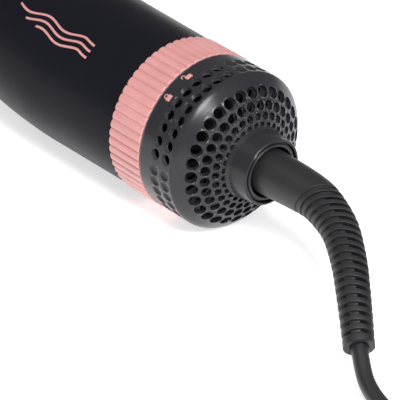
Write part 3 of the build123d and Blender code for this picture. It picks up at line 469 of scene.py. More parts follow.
def turned(outline: Outline, steps: int, closed: bool = False, angle: float = TAU,
           start: float = 0.0) -> BMesh:
    """Turn an outline about X.

    Args:
        outline: Stations and radii.
        steps: How many pieces the turn has.
        closed: Whether the outline's last point joins its first.
        angle: How far it turns.
        start: Where the turn starts, from straight up towards -Y.

    Returns:
        A bmesh with its faces outwards.
    """
    bm = bmesh.new()
    verts = [bm.verts.new((x, 0, r)) for x, r in outline]
    pairs = list(zip(verts, verts[1:])) + ([(verts[-1], verts[0])] if closed else [])
    edges = [bm.edges.new(pair) for pair in pairs]
    bmesh.ops.rotate(bm, verts=verts, cent=(0, 0, 0), matrix=Matrix.Rotation(start, 3, "X"))
    full = abs(angle - TAU) < 1e-6
    bmesh.ops.spin(bm, geom=verts + edges, cent=(0, 0, 0), axis=(1, 0, 0), angle=angle, steps=steps,
                   use_merge=full)
    bmesh.ops.remove_doubles(bm, verts=bm.verts, dist=1e-7)
    bmesh.ops.recalc_face_normals(bm, faces=bm.faces)
    return bm


def stadium(length: float, width: float, low: float, high: float, edge: float,
            steps: int = 40) -> BMesh:
    """A block with round ends, flat on the XY plane, with its upper edge rounded.

    Args:
        length: Its size along X, ends included.
        width: Its size along Y.
        low: The height of its underside.
        high: The height of its top.
        edge: The radius of its upper edge.
        steps: How many pieces its outline has.

    Returns:
        A closed bmesh about the origin.
    """
    bm = bmesh.new()
    turn = Matrix.Rotation(TAU / steps / 2, 4, "Z")
    bmesh.ops.create_circle(bm, cap_ends=True, segments=steps, radius=width / 2, matrix=turn)
    for side in (-1, 1):
        end = [v for v in bm.verts if v.co.x * side > 0]
        bmesh.ops.translate(bm, verts=end, vec=(side * (length - width) / 2, 0, 0))
    bmesh.ops.translate(bm, verts=bm.verts, vec=(0, 0, low))
    raised = bmesh.ops.extrude_face_region(bm, geom=bm.faces[:], use_keep_orig=True)
    top = [v for v in raised["geom"] if isinstance(v, BMVert)]
    bmesh.ops.translate(bm, verts=top, vec=(0, 0, high - low))
    bmesh.ops.recalc_face_normals(bm, faces=bm.faces)
    if edge:
        upper = [e for e in bm.edges if all(v.co.z > high - 1e-7 for v in e.verts)]
        rim(bm, upper, edge, 3)
    return bm


def lathe(corners: Iterable[Corner], turns: int, steps: int = 4) -> BMesh:
    """Turn a closed section with rounded corners about X.

    Args:
        corners: Station, distance from the axis and corner radius of each corner.
        turns: How many pieces the turn has.
        steps: How many pieces the arc of a corner has.

    Returns:
        A closed bmesh.
    """
    return turned(rounded(corners, closed=True, steps=steps), turns, closed=True)


def spread_to(x: float, y: float, length: float, width: float) -> Matrix:
    """The matrix that makes a unit square into a rectangle about a point of the XY plane."""
    return Matrix.Translation((x, y, 0)) @ Matrix.Diagonal((length, width, 1, 1))


def drawn(bm: BMesh, edges: Sequence[BMEdge]) -> tuple[list[BMVert], list[BMEdge]]:
    """Extrude a loop of edges in place, and return the new points and the new loop."""
    made = bmesh.ops.extrude_edge_only(bm, edges=edges)["geom"]
    return ([v for v in made if isinstance(v, BMVert)], [e for e in made if isinstance(e, BMEdge)])


def rim(bm: BMesh, edges: Sequence[BMEdge], radius: float, segments: int = 2) -> None:
    """Round some edges of a bmesh.

    Args:
        bm: What they belong to.
        edges: The edges.
        radius: How wide the rounding is.
        segments: How many pieces it has.
    """
    bmesh.ops.bevel(bm, geom=list(edges), offset=radius, offset_type="OFFSET", segments=segments,
                    profile=0.5, affect="EDGES", clamp_overlap=True, material=-1)


def moved(bm: BMesh, matrix: Matrix) -> BMesh:
    """Move the whole of a bmesh by a matrix, and return it."""
    bmesh.ops.transform(bm, matrix=matrix, verts=bm.verts)
    return bm


def upright(bm: BMesh, station: float) -> BMesh:
    """Stand a shape turned about X upright at a station."""
    return moved(bm, Matrix.Translation((station, 0, 0)) @ X_TO_Z)


def copied(bm: BMesh, other: BMesh, matrix: Matrix) -> None:
    """Copy another bmesh into this one, moved by a matrix; the other stays usable."""
    mesh = bpy.data.meshes.new("added")
    other.to_mesh(mesh)
    mesh.transform(matrix)
    bm.from_mesh(mesh)
    bpy.data.meshes.remove(mesh)


def joined(bm: BMesh, *others: BMesh) -> BMesh:
    """Move other bmeshes into this one, and return it; the others are freed."""
    for other in others:
        copied(bm, other, Matrix())
        other.free()
    return bm


def loose(bm: BMesh, name: str) -> Object:
    """Make an object of a bmesh, which is then freed."""
    mesh = bpy.data.meshes.new(name)
    bm.to_mesh(mesh)
    bm.free()
    made = bpy.data.objects.new(name, mesh)
    bpy.context.scene.collection.objects.link(made)
    return made


def evaluated(source: Object) -> bpy.types.Mesh:
    """An object's mesh with its modifiers applied, as a new mesh."""
    graph = bpy.context.evaluated_depsgraph_get()
    return bpy.data.meshes.new_from_object(source.evaluated_get(graph))


def carved(bm: BMesh, cutters: Iterable[BMesh]) -> BMesh:
    """Cut closed shapes out of a closed bmesh.

    Args:
        bm: What is cut; it is freed.
        cutters: What is taken away; they are freed.

    Returns:
        A new bmesh.
    """
    base = loose(bm, "carving")
    tools = [loose(cutter, "cutter") for cutter in cutters]
    for tool in tools:
        cut = base.modifiers.new("cut", "BOOLEAN")
        cut.operation = "DIFFERENCE"
        cut.solver = "EXACT"
        cut.object = tool
    mesh = evaluated(base)
    result = bmesh.new()
    result.from_mesh(mesh)
    bpy.data.meshes.remove(mesh)
    for used in [base, *tools]:
        bpy.data.objects.remove(used)
    return result


def piece(name: str, bm: BMesh, finish: Finish, body: Body, place: Matrix = ON_AXIS,
          replaces: Sequence[str] = (), crease: float = 38.0) -> Object:
    """Finish a mesh as one visible piece of the brush.

    Args:
        name: The piece's name.
        bm: Its shape, which is freed.
        finish: What it is made of.
        body: What it moves with.
        place: Where it goes, applied to its mesh.
        replaces: The CAD nodes that it stands for.
        crease: Edges that turn by more degrees than this stay crisp.

    Returns:
        The new object, at the origin.
    """
    moved(bm, place)
    limit = math.radians(crease)
    for face in bm.faces:
        face.smooth = True
    for edge in bm.edges:
        edge.smooth = not edge.is_manifold or edge.calc_face_angle(0.0) < limit
    made = loose(bm, name)
    made.data.materials.append(finish.material())
    weighted = made.modifiers.new("even_shading", "WEIGHTED_NORMAL")
    weighted.keep_sharp = True
    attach(made, body.value)
    if replaces:
        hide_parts(*replaces)
    log.info("%s: %d faces on %s", name, len(made.data.polygons), body.value)
    return made


# ---- Pierced skins -------------------------------------------------------------------------
@dataclass
class Skin:
    """A thin turned wall with round holes, laid out flat and then wrapped about the axis.

    Laid flat, x is the way round at the reach, y the distance along the outline, and z the height
    above the outline.
    """

    outline: Outline
    reach: float
    bm: BMesh = field(default_factory=bmesh.new)
    side: int = 8

    def __post_init__(self) -> None:
        """Measure the outline's length up to each of its points."""
        self.along = [0.0]
        for (x_a, r_a), (x_b, r_b) in pairwise(self.outline):
            self.along.append(self.along[-1] + math.hypot(x_b - x_a, r_b - r_a))

    def at(self, distance: float) -> tuple[float, float, float, float]:
        """Where a distance along the outline is.

        Args:
            distance: From the outline's first point.

        Returns:
            Station, radius, and the outline's direction there, as (along X, outwards).
        """
        index, t = spot(self.along, distance)
        (x_a, r_a), (x_b, r_b) = self.outline[index:index + 2]
        span = self.along[index + 1] - self.along[index]
        return x_a + (x_b - x_a) * t, r_a + (r_b - r_a) * t, (x_b - x_a) / span, (r_b - r_a) / span

    def where(self, radius: float) -> float:
        """The distance along the outline, past its last widest point, at which it has a radius."""
        for index in range(len(self.outline) - 1, 0, -1):
            r_a, r_b = self.outline[index - 1][1], self.outline[index][1]
            if min(r_a, r_b) <= radius <= max(r_a, r_b) and r_a != r_b:
                t = (radius - r_a) / (r_b - r_a)
                return self.along[index - 1] + (self.along[index] - self.along[index - 1]) * t
        raise ValueError(f"the outline never has radius {radius}")

    def cell(self, width: float, low: float, high: float, distance: float,
             loops: Sequence[tuple[float, float]], capped: bool) -> BMesh:
        """One cell of the wall: a rectangle with a round hole or a round dish in it.

        Args:
            width: The cell's angle.
            low: Where it starts along the outline.
            high: Where it ends.
            distance: Where the hole's centre is.
            loops: Radius and height of each circle, from the widest inwards.
            capped: Whether the last circle is closed.

        Returns:
            The cell about angle 0.
        """
        bm = bmesh.new()
        place = spread_to(0, (low + high) / 2, width * self.reach, high - low)
        bmesh.ops.create_grid(bm, x_segments=1, y_segments=1, size=0.5, matrix=place)
        bmesh.ops.subdivide_edges(bm, edges=bm.edges[:], cuts=self.side - 1)
        bmesh.ops.delete(bm, geom=bm.faces[:], context="FACES_ONLY")
        border = bm.edges[:]
        stretch = Matrix.Diagonal((self.reach / self.at(distance)[1], 1, 1, 1))
        centre = Vector((0, distance, 0))
        turn = Matrix.Rotation(TAU / 8, 4, "Z")
        size, _ = loops[0]
        bmesh.ops.create_circle(bm, segments=4 * self.side, radius=size,
                                matrix=Matrix.Translation(centre) @ stretch @ turn)
        circle = [e for e in bm.edges if e not in border]
        bmesh.ops.bridge_loops(bm, edges=border + circle)
        for smaller, height in loops[1:]:
            verts, circle = drawn(bm, circle)
            for vert in verts:
                vert.co = centre + (vert.co - centre) * smaller / size
                vert.co.z = height
            size = smaller
        if capped:
            bmesh.ops.edgeloop_fill(bm, edges=circle)
        return bm

    def repeat(self, cell: BMesh, angles: Iterable[float]) -> None:
        """Place copies of a cell at angles about the axis."""
        for angle in angles:
            copied(self.bm, cell, Matrix.Translation((angle * self.reach, 0, 0)))
        cell.free()

    def plain(self, width: float, pieces: int, low: float, high: float, rows: int,
              centre: float) -> None:
        """Lay a stretch of plain wall.

        Args:
            width: Its angle.
            pieces: How many faces it has round the axis.
            low: Where it starts along the outline.
            high: Where it ends.
            rows: How many faces it has along the outline.
            centre: The angle of its middle.
        """
        place = spread_to(centre * self.reach, (low + high) / 2, width * self.reach, high - low)
        bmesh.ops.create_grid(self.bm, x_segments=pieces, y_segments=rows, size=0.5, matrix=place)

    def wrap(self) -> None:
        """Wrap the flat layout about the axis and close its seam."""
        bmesh.ops.remove_doubles(self.bm, verts=self.bm.verts, dist=1e-6)
        for vert in self.bm.verts:
            way, distance, height = vert.co
            angle = way / self.reach
            x, r, along, out = self.at(distance)
            r += height * along
            x -= height * out
            vert.co = (x, -r * math.sin(angle), r * math.cos(angle))
        bmesh.ops.remove_doubles(self.bm, verts=self.bm.verts, dist=2e-6)

    def open_loops(self) -> list[BMEdge]:
        """The edges that have one face."""
        return [edge for edge in self.bm.edges if edge.is_boundary]

    def thicken(self, wall: float, edges: Sequence[BMEdge], radius: float) -> None:
        """Give the skin its wall and round the edges of its holes.

        Args:
            wall: How thick the wall is.
            edges: The edges to round.
            radius: How much they are rounded.
        """
        bmesh.ops.recalc_face_normals(self.bm, faces=self.bm.faces)
        faces = self.bm.faces[:]
        probe = max(faces, key=lambda f: math.hypot(*f.calc_center_median().yz))
        if probe.normal.dot(Vector((0, *probe.calc_center_median().yz))) < 0:
            bmesh.ops.reverse_faces(self.bm, faces=faces)
        kept = [edge for edge in edges if edge.is_valid]
        bmesh.ops.solidify(self.bm, geom=self.bm.faces[:], thickness=wall)
        rim(self.bm, [e for e in kept if e.is_valid], radius, 3)


# ---- Intake cap ----------------------------------------------------------------------------
@dataclass
class IntakeCap:
    """The perforated cap over the fan's intake, with the collar round the swivel."""

    radius: float = 29.6 * MM
    wall: float = 1.7 * MM
    hole_radius: float = 2.0 * MM
    hole_rows: tuple[float, float] = (8.34 * MM, 13.77 * MM)
    holes: int = 9
    hole_pitch: float = math.radians(9.55)
    dimples: int = 10
    dimple_margin: float = math.radians(12)
    shoulder: float = 16.6 * MM
    grille: int = 30
    rows: tuple[tuple[float, float], ...] = (
        (24.4 * MM, 2.22 * MM), (20.32 * MM, 1.80 * MM),
        (16.96 * MM, 1.34 * MM), (14.14 * MM, 1.02 * MM))
    collar_radius: float = 12.35 * MM
    collar_bore: float = 11.3 * MM
    edge: float = 0.22 * MM

    def outline(self) -> Outline:
        """The outside of the cap from the lock ring to the foot of the collar."""
        dome = flowing([
            (self.shoulder + 0.55 * MM, self.radius - 0.35 * MM),
            (self.shoulder + 1.9 * MM, self.radius - 1.5 * MM),
            (21.82 * MM, self.rows[0][0]),
            (24.31 * MM, self.rows[1][0]),
            (26.04 * MM, self.rows[2][0]),
            (27.23 * MM, self.rows[3][0]),
            (27.75 * MM, 12.3 * MM),
        ], 10)
        side = rounded([
            (0.25 * MM, self.radius - 0.5 * MM, 0),
            (0.25 * MM, self.radius, 0.4 * MM),
            (self.shoulder, self.radius, 0),
        ])
        return [(AT.ring_rear + x, r) for x, r in [*side, *dome]]

    def side_band(self, skin: Skin, low: float, high: float) -> None:
        """Lay the straight side: two clusters of holes with dimples between them.

        Args:
            skin: The cap's skin.
            low: Where the band starts along the outline.
            high: Where it ends.
        """
        first, second = (row + 0.1 * MM for row in self.hole_rows)
        between = (first + second) / 2
        lowest, highest = first - 2.75 * MM, second + 2.5 * MM
        columns = []
        spread = self.hole_pitch * (self.holes - 1) / 2
        gap = math.pi - 2 * spread
        dimple_pitch = (gap - 2 * self.dimple_margin) / (self.dimples - 1)
        filler = self.dimple_margin - self.hole_pitch / 2 - dimple_pitch / 2
        hole = [(self.hole_radius + 0.3 * MM, 0), (self.hole_radius, 0)]
        dish = [(self.hole_radius + 0.15 * MM, 0), (self.hole_radius - 0.05 * MM, -0.22 * MM),
                (1.6 * MM, -0.60 * MM), (1.0 * MM, -0.82 * MM), (0.4 * MM, -0.90 * MM)]
        for side in (0.0, math.pi):
            holes = [side - spread + self.hole_pitch * i for i in range(self.holes)]
            turn = side + spread + self.dimple_margin
            dimples = [turn + dimple_pitch * i for i in range(self.dimples)]
            margin = spread + (self.hole_pitch + filler) / 2
            fillers = [side + margin, side + math.pi - margin]
            columns += [(self.hole_pitch, skin.side, angle) for angle in holes]
            columns += [(dimple_pitch, skin.side, angle) for angle in dimples]
            columns += [(filler, 2, angle) for angle in fillers]
            for centre, *ends in ((first, lowest, between), (second, between, highest)):
                skin.repeat(skin.cell(self.hole_pitch, *ends, centre, hole, False), holes)
                skin.repeat(skin.cell(dimple_pitch, *ends, centre, dish, True), dimples)
                for angle in fillers:
                    skin.plain(filler, 2, *ends, skin.side, angle)
        for width, pieces, angle in columns:
            skin.plain(width, pieces, low, lowest, 10, angle)
            skin.plain(width, pieces, highest, high, 1, angle)

    def dome(self, skin: Skin, low: float) -> None:
        """Lay the dome: rows of holes, each half a pitch round from the last.

        Args:
            skin: The cap's skin.
            low: Where the dome's plain shoulder starts along the outline.
        """
        places = [skin.where(ring) for ring, _ in self.rows]
        cuts = [places[0] - 2.75 * MM]
        holes = [(place, radius) for place, (_, radius) in zip(places, self.rows)]
        for (a, r_a), (b, r_b) in zip(holes, holes[1:]):
            cuts.append(a + (b - a) * r_a / (r_a + r_b))
        cuts.append(places[-1] + 1.25 * MM)
        pitch = TAU / self.grille
        for index, (place, radius) in enumerate(holes):
            loops = [(radius + 0.20 * MM, 0), (radius + 0.11 * MM, 0.05 * MM), (radius, 0.03 * MM)]
            cell = skin.cell(pitch, cuts[index], cuts[index + 1], place, loops, False)
            skin.repeat(cell, [pitch * (i + index % 2 / 2) for i in range(self.grille)])
        skin.plain(TAU, self.grille * skin.side, low, cuts[0], 12, math.pi)
        skin.plain(TAU, self.grille * skin.side, cuts[-1], skin.along[-1], 2, math.pi)

    def collar(self) -> BMesh:
        """The collar, from inside the dome to its rounded lip."""
        foot, lip = AT.ring_rear + 24.6 * MM, AT.rim
        outside = [
            (foot, self.collar_bore, 0.2 * MM),
            (foot, self.collar_radius + 1.7 * MM, 0.2 * MM),
            (AT.ring_rear + 27.2 * MM, self.collar_radius + 1.35 * MM, 1.2 * MM),
            (AT.ring_rear + 28.6 * MM, self.collar_radius + 0.72 * MM, 2.0 * MM),
            (lip, self.collar_radius - 0.05 * MM, 0.55 * MM),
            (lip, self.collar_bore, 0.35 * MM),
        ]
        return lathe(outside, 120, 6)

    def spigot(self) -> BMesh:
        """The cap's inner flange, which the lock ring holds."""
        low, step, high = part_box("intake_cap")[0].x, AT.ring_rear + 0.4 * MM, AT.ring_rear + 1.6 * MM
        bore, outer, foot = 26.2 * MM, 27.5 * MM, 28.6 * MM
        return lathe([(low, bore, 0.3 * MM), (low, outer, 0.3 * MM), (step, outer, 0),
                      (step, foot, 0), (high, foot, 0), (high, bore, 0)], 96)

    def build(self) -> Object:
        """Build the cap as one piece."""
        skin = Skin(self.outline(), self.radius)
        band_end = self.shoulder - 0.25 * MM + 0.1 * MM
        self.side_band(skin, 0.0, band_end)
        self.dome(skin, band_end + 0.5 * MM)
        skin.wrap()
        gap = [e for e in skin.open_loops() if self.at_gap(e, band_end)]
        bmesh.ops.bridge_loops(skin.bm, edges=gap)
        holes = [e for e in skin.open_loops() if not self.at_end(e)]
        skin.thicken(self.wall, holes, self.edge)
        whole = joined(skin.bm, self.collar(), self.spigot())
        return piece("intake_cap_shell", whole, CAP, Body.CAP, ROLLED, ["intake_cap"], 50)

    def at_gap(self, edge: BMEdge, band_end: float) -> bool:
        """Whether an open edge lies where the side meets the dome."""
        station = AT.ring_rear + 0.25 * MM + band_end
        widest = self.radius - 0.6 * MM
        return all(abs(v.co.x - station) < 0.75 * MM and v.co.yz.length > widest for v in edge.verts)

    def at_end(self, edge: BMEdge) -> bool:
        """Whether an open edge belongs to one of the skin's two ends."""
        first = all(v.co.x < AT.ring_rear + 0.3 * MM for v in edge.verts)
        return first or all(v.co.yz.length < 12.6 * MM for v in edge.verts)


# ---- Lock ring -----------------------------------------------------------------------------
@dataclass
class LockRing:
    """The ribbed ring that turns to free the cap."""

    radius: float = 30.0 * MM
    bore: float = 25.3 * MM
    seat: float = 27.6 * MM
    ribs: int = 56
    depth: float = 0.62 * MM
    per_rib: int = 10

    def build(self) -> Object:
        """Turn the ring and press its ribs into the outside."""
        front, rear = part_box("lock_ring")
        corners = [
            (front.x, self.bore, 0.2 * MM), (front.x, self.radius - 0.12 * MM, 0.45 * MM),
            (rear.x, self.radius - 0.12 * MM, 0.45 * MM), (rear.x, self.seat, 0.2 * MM),
            (rear.x - 8.0 * MM, self.seat, 0), (rear.x - 8.0 * MM, self.bore, 0),
        ]
        bm = lathe(corners, self.ribs * self.per_rib)
        for vert in bm.verts:
            across = vert.co.yz
            if across.length < self.radius - 1.4 * MM:
                continue
            share = (math.atan2(across.y, across.x) / TAU * self.ribs) % 1.0
            valley = abs(2 * share - 1) ** 2.6
            grow = (self.radius - self.depth * valley) / self.radius
            vert.co.yz = across * grow
        return piece("lock_ring_ribbed", bm, ROSE, Body.RING, ROLLED, ["lock_ring"], 60)


# ---- Handle --------------------------------------------------------------------------------
@dataclass
class Handle:
    """The two shells of the handle and the ring round its mouth."""

    rear_radius: float = 29.4 * MM
    belly: float = 29.8 * MM
    grip: float = 19.6 * MM
    neck: float = 22.5 * MM
    wall: float = 2.2 * MM
    seam: float = 0.12 * MM
    panel_grow: float = 0.12 * MM
    panel_width: float = 14 * MM
    button_hole: float = 3.5 * MM
    screw_inset: float = 2.6 * MM
    well: float = 2.7 * MM
    post: float = 3.6 * MM
    post_bore: float = 1.45 * MM
    mouth_bore: float = 16.1 * MM

    def outline(self, inset: float = 0.0) -> Outline:
        """The handle's outside from the lock ring to its neck, moved in by a wall."""
        length = AT.ring_front - AT.shell_front
        slope = self.belly - self.grip
        shares = (
            (0.0, self.rear_radius), (0.17, (self.rear_radius + self.belly) / 2 + 0.15 * MM),
            (0.29, self.belly), (0.43, self.belly - 0.2 * slope), (0.59, self.grip + 0.3 * slope),
            (0.74, self.grip), (0.88, self.grip + 0.1 * (self.neck - self.grip)), (1.0, self.neck),
        )
        return flowing([(AT.ring_front - share * length, r - inset) for share, r in shares], 10)

    def radius_at(self, station: float) -> float:
        """The outside radius at a station."""
        points = self.outline()
        for (x_a, r_a), (x_b, r_b) in zip(points, points[1:]):
            if x_b <= station <= x_a:
                return r_a + (r_b - r_a) * (x_a - station) / (x_a - x_b)
        return self.neck

    def shell(self, start: float) -> BMesh:
        """One half shell with rounded edges.

        Args:
            start: The angle of its first edge from the controls.

        Returns:
            The shell before anything is cut in it.
        """
        outer, inner = self.outline(), self.outline(self.wall)
        bm = turned([*outer, *reversed(inner)], 72, True, math.pi - 2 * self.seam / self.belly,
                    start + self.seam / self.belly)
        ends = [e for e in bm.edges if e.is_boundary]
        bmesh.ops.edgeloop_fill(bm, edges=ends)
        bmesh.ops.recalc_face_normals(bm, faces=bm.faces)
        sharp = [e for e in bm.edges if e.calc_face_angle(0.0) > math.radians(60)]
        rim(bm, sharp, 0.22 * MM, 2)
        return bm

    @staticmethod
    def plug(low: float, high: float, radius: float) -> Outline:
        """The section of a solid cylinder.

        Args:
            low: Where it starts.
            high: Where it ends.
            radius: Its radius.

        Returns:
            An outline that starts and ends on the axis.
        """
        return [(low, 0), (low, radius), (high, radius), (high, 0)]

    def openings(self) -> list[BMesh]:
        """What is cut from the upper shell: the panel's bed and the release button's hole."""
        panel_low, panel_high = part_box("control_panel")
        length = panel_high.x - panel_low.x + 2 * self.panel_grow
        bed = stadium(length, self.panel_width + 2 * self.panel_grow, 10 * MM, 40 * MM, 0)
        middle = (panel_low.x + panel_high.x) / 2
        moved(bed, Matrix.Translation((middle, 0, 0)))
        button_low, button_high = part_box("release_button")
        button = turned(self.plug(15 * MM, 40 * MM, self.button_hole), 40)
        return [bed, upright(button, (button_low.x + button_high.x) / 2)]

    def screw_wells(self) -> list[BMesh]:
        """What is cut from the lower shell: the wells of its screws."""
        wells = []
        low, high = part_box("shell_screws")
        for station in (low.x + self.screw_inset, high.x - self.screw_inset):
            wells.append(upright(turned(self.plug(-40 * MM, -12 * MM, self.well), 32), station))
        return wells

    def posts(self) -> BMesh:
        """The tubes that the screws stand in, inside the lower shell."""
        bm = bmesh.new()
        low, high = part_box("shell_screws")
        for station in (low.x + self.screw_inset, high.x - self.screw_inset):
            depth = self.radius_at(station) - 0.4 * MM
            floor = -depth + 5.6 * MM
            corners = [(-depth, self.well, 0), (-depth, self.post, 0), (0, self.post, 0.2 * MM),
                       (0, self.post_bore, 0), (floor, self.post_bore, 0), (floor, self.well, 0)]
            joined(bm, upright(lathe(corners, 32), station))
        return bm

    def trim(self) -> BMesh:
        """The bright ring round the mouth."""
        front, rear = AT.trim_front + 0.3 * MM, AT.shell_front - 0.05 * MM
        outer = self.neck + 0.7 * MM
        waist = outer - 0.5 * MM
        return lathe([
            (front, self.mouth_bore, 0), (front, outer, 0.7 * MM),
            (front + 5.4 * MM, outer, 0.4 * MM), (front + 5.8 * MM, waist, 0.2 * MM),
            (rear, waist, 0.3 * MM), (rear, self.mouth_bore, 0),
        ], 120)

    def spout(self) -> BMesh:
        """The spout that the brush head plugs onto, with a groove for its catch."""
        front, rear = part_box("front_trim")
        outer, groove = 17.1 * MM, 16.7 * MM
        return lathe([
            (front.x, self.mouth_bore, 0.2 * MM), (front.x, outer, 0.4 * MM),
            (front.x + 3 * MM, outer, 0.2 * MM), (front.x + 3.2 * MM, groove, 0.1 * MM),
            (front.x + 4.6 * MM, groove, 0.1 * MM), (front.x + 4.8 * MM, outer, 0.2 * MM),
            (rear.x, outer, 0), (rear.x, self.mouth_bore, 0),
        ], 96)

    def build(self) -> None:
        """Build both shells and the mouth."""
        upper = carved(self.shell(-math.pi / 2), self.openings())
        piece("upper_shell_skin", upper, SHELL, Body.HANDLE, ROLLED, ["upper_shell"], 30)
        lower = joined(carved(self.shell(math.pi / 2), self.screw_wells()), self.posts())
        piece("lower_shell_skin", lower, SHELL, Body.HANDLE, ROLLED, ["lower_shell"], 30)
        piece("mouth_ring", self.trim(), TRIM, Body.HANDLE, ROLLED, ["front_trim"], 40)
        piece("head_spout", self.spout(), FRAME, Body.HANDLE, ROLLED, (), 40)


# ---- Marks ---------------------------------------------------------------------------------
@dataclass
class Marks:
    """The printed marks: airflow lines on the handle, and the two padlocks on the cap."""

    handle: Handle
    cap: IntakeCap
    ink: float = 0.03 * MM
    lines: int = 3
    line_length: float = 43 * MM
    line_width: float = 0.9 * MM
    line_gap: float = 2.6 * MM
    wave: float = 1.0 * MM
    wave_length: float = 21 * MM
    lines_ahead: float = 39 * MM
    lock_behind: float = 3.3 * MM
    unlocking: float = math.radians(-20)
    fade: float = 6 * MM

    def laid(self, bm: BMesh, station: float, angle: float, radius_at: Callable) -> None:
        """Lay a flat mark on a turned surface.

        Args:
            bm: The mark, with x along the axis and y round it.
            station: Where its origin goes along the axis.
            angle: Where its origin goes round the axis.
            radius_at: The surface's radius at a station.
        """
        bmesh.ops.recalc_face_normals(bm, faces=bm.faces)
        bmesh.ops.solidify(bm, geom=bm.faces[:], thickness=2 * self.ink)
        middle = sum(v.co.z for v in bm.verts) / len(bm.verts)
        for vert in bm.verts:
            x = station + vert.co.x
            radius = radius_at(x)
            turn = angle + vert.co.y / radius
            reach = radius + (self.ink if vert.co.z > middle else -self.ink)
            vert.co = (x, -reach * math.sin(turn), reach * math.cos(turn))
        bmesh.ops.recalc_face_normals(bm, faces=bm.faces)

    def padlock(self, is_open: bool) -> BMesh:
        """One padlock, its shackle towards the lock ring.

        Args:
            is_open: Whether its shackle is swung aside.

        Returns:
            The flat mark.
        """
        bm = bmesh.new()
        lock = spread_to(0.75 * MM, 0, 1.9, 2.5)
        bmesh.ops.create_grid(bm, x_segments=6, y_segments=6, size=0.5 * MM, matrix=lock)
        corners = [v for v in bm.verts if len(v.link_faces) == 1]
        bmesh.ops.bevel(bm, geom=corners, offset=0.25 * MM, segments=2, profile=0.5,
                        affect="VERTICES", material=-1)
        swing = 1.36 * MM if is_open else 0.0
        foot, inner, outer = -0.70 * MM, 0.48 * MM, 0.88 * MM
        ends = [bm.verts.new((foot, swing + r, 0)) for r in (inner, outer)]
        edge = bm.edges.new(ends)
        bmesh.ops.spin(bm, geom=[*ends, edge], cent=(foot, swing, 0), axis=(0, 0, 1), angle=math.pi,
                       steps=12, use_merge=False)
        for side in (-1, 1):
            reach = 0.45 if is_open and side > 0 else 0.75
            leg = spread_to(foot - 0.02 * MM + reach / 2 * MM, swing + side * 0.68 * MM, reach, 0.40)
            bmesh.ops.create_grid(bm, x_segments=2, y_segments=1, size=0.5 * MM, matrix=leg)
        return bm

    def airflow(self) -> BMesh:
        """Three waving lines of moving air."""
        bm = bmesh.new()
        for index in range(self.lines):
            across = (index - (self.lines - 1) / 2) * self.line_gap
            length = self.line_length * (1 - 0.16 * index)
            shape = spread_to(-length / 2, across, length, self.line_width)
            bmesh.ops.create_grid(bm, x_segments=72, y_segments=2, size=0.5, matrix=shape)
        for vert in bm.verts:
            taper = min(1.0, -vert.co.x / self.fade)
            vert.co.y += self.wave * math.sin(TAU * vert.co.x / self.wave_length) * taper
        return bm

    def build(self) -> None:
        """Print every mark."""
        bm = self.airflow()
        self.laid(bm, AT.ring_rear - self.lines_ahead, 0.0, self.handle.radius_at)
        piece("airflow_mark", bm, ROSE, Body.HANDLE, ROLLED, (), 60)
        for name, is_open in (("locked_mark", False), ("unlocked_mark", True)):
            bm = self.padlock(is_open)
            turn = self.unlocking if is_open else 0.0
            self.laid(bm, AT.ring_rear + self.lock_behind, turn, lambda _: self.cap.radius)
            piece(name, bm, ROSE, Body.CAP, ROLLED, (), 60)


# ---- Swivel --------------------------------------------------------------------------------
@dataclass
class Swivel:
    """What shows between the collar and the boot: the end of the swivel's hub."""

    hub_radius: float = 11.02 * MM
    hub_bore: float = 9.36 * MM

    def build(self) -> Object:
        """Build the hub's rounded end, over the fixed frame's own."""
        end = AT.rim - 0.1 * MM
        root, step = end - 4 * MM, end - 0.9 * MM
        corners = [
            (root, self.hub_bore, 0), (root, self.hub_radius, 0),
            (step, self.hub_radius, 0.15 * MM), (step, self.hub_radius - 0.45 * MM, 0.12 * MM),
            (end, self.hub_radius - 0.55 * MM, 0.45 * MM), (end, self.hub_bore, 0.4 * MM),
        ]
        return piece("hub_end_ring", lathe(corners, 120, 5), FRAME, Body.HANDLE, ON_AXIS, (), 45)


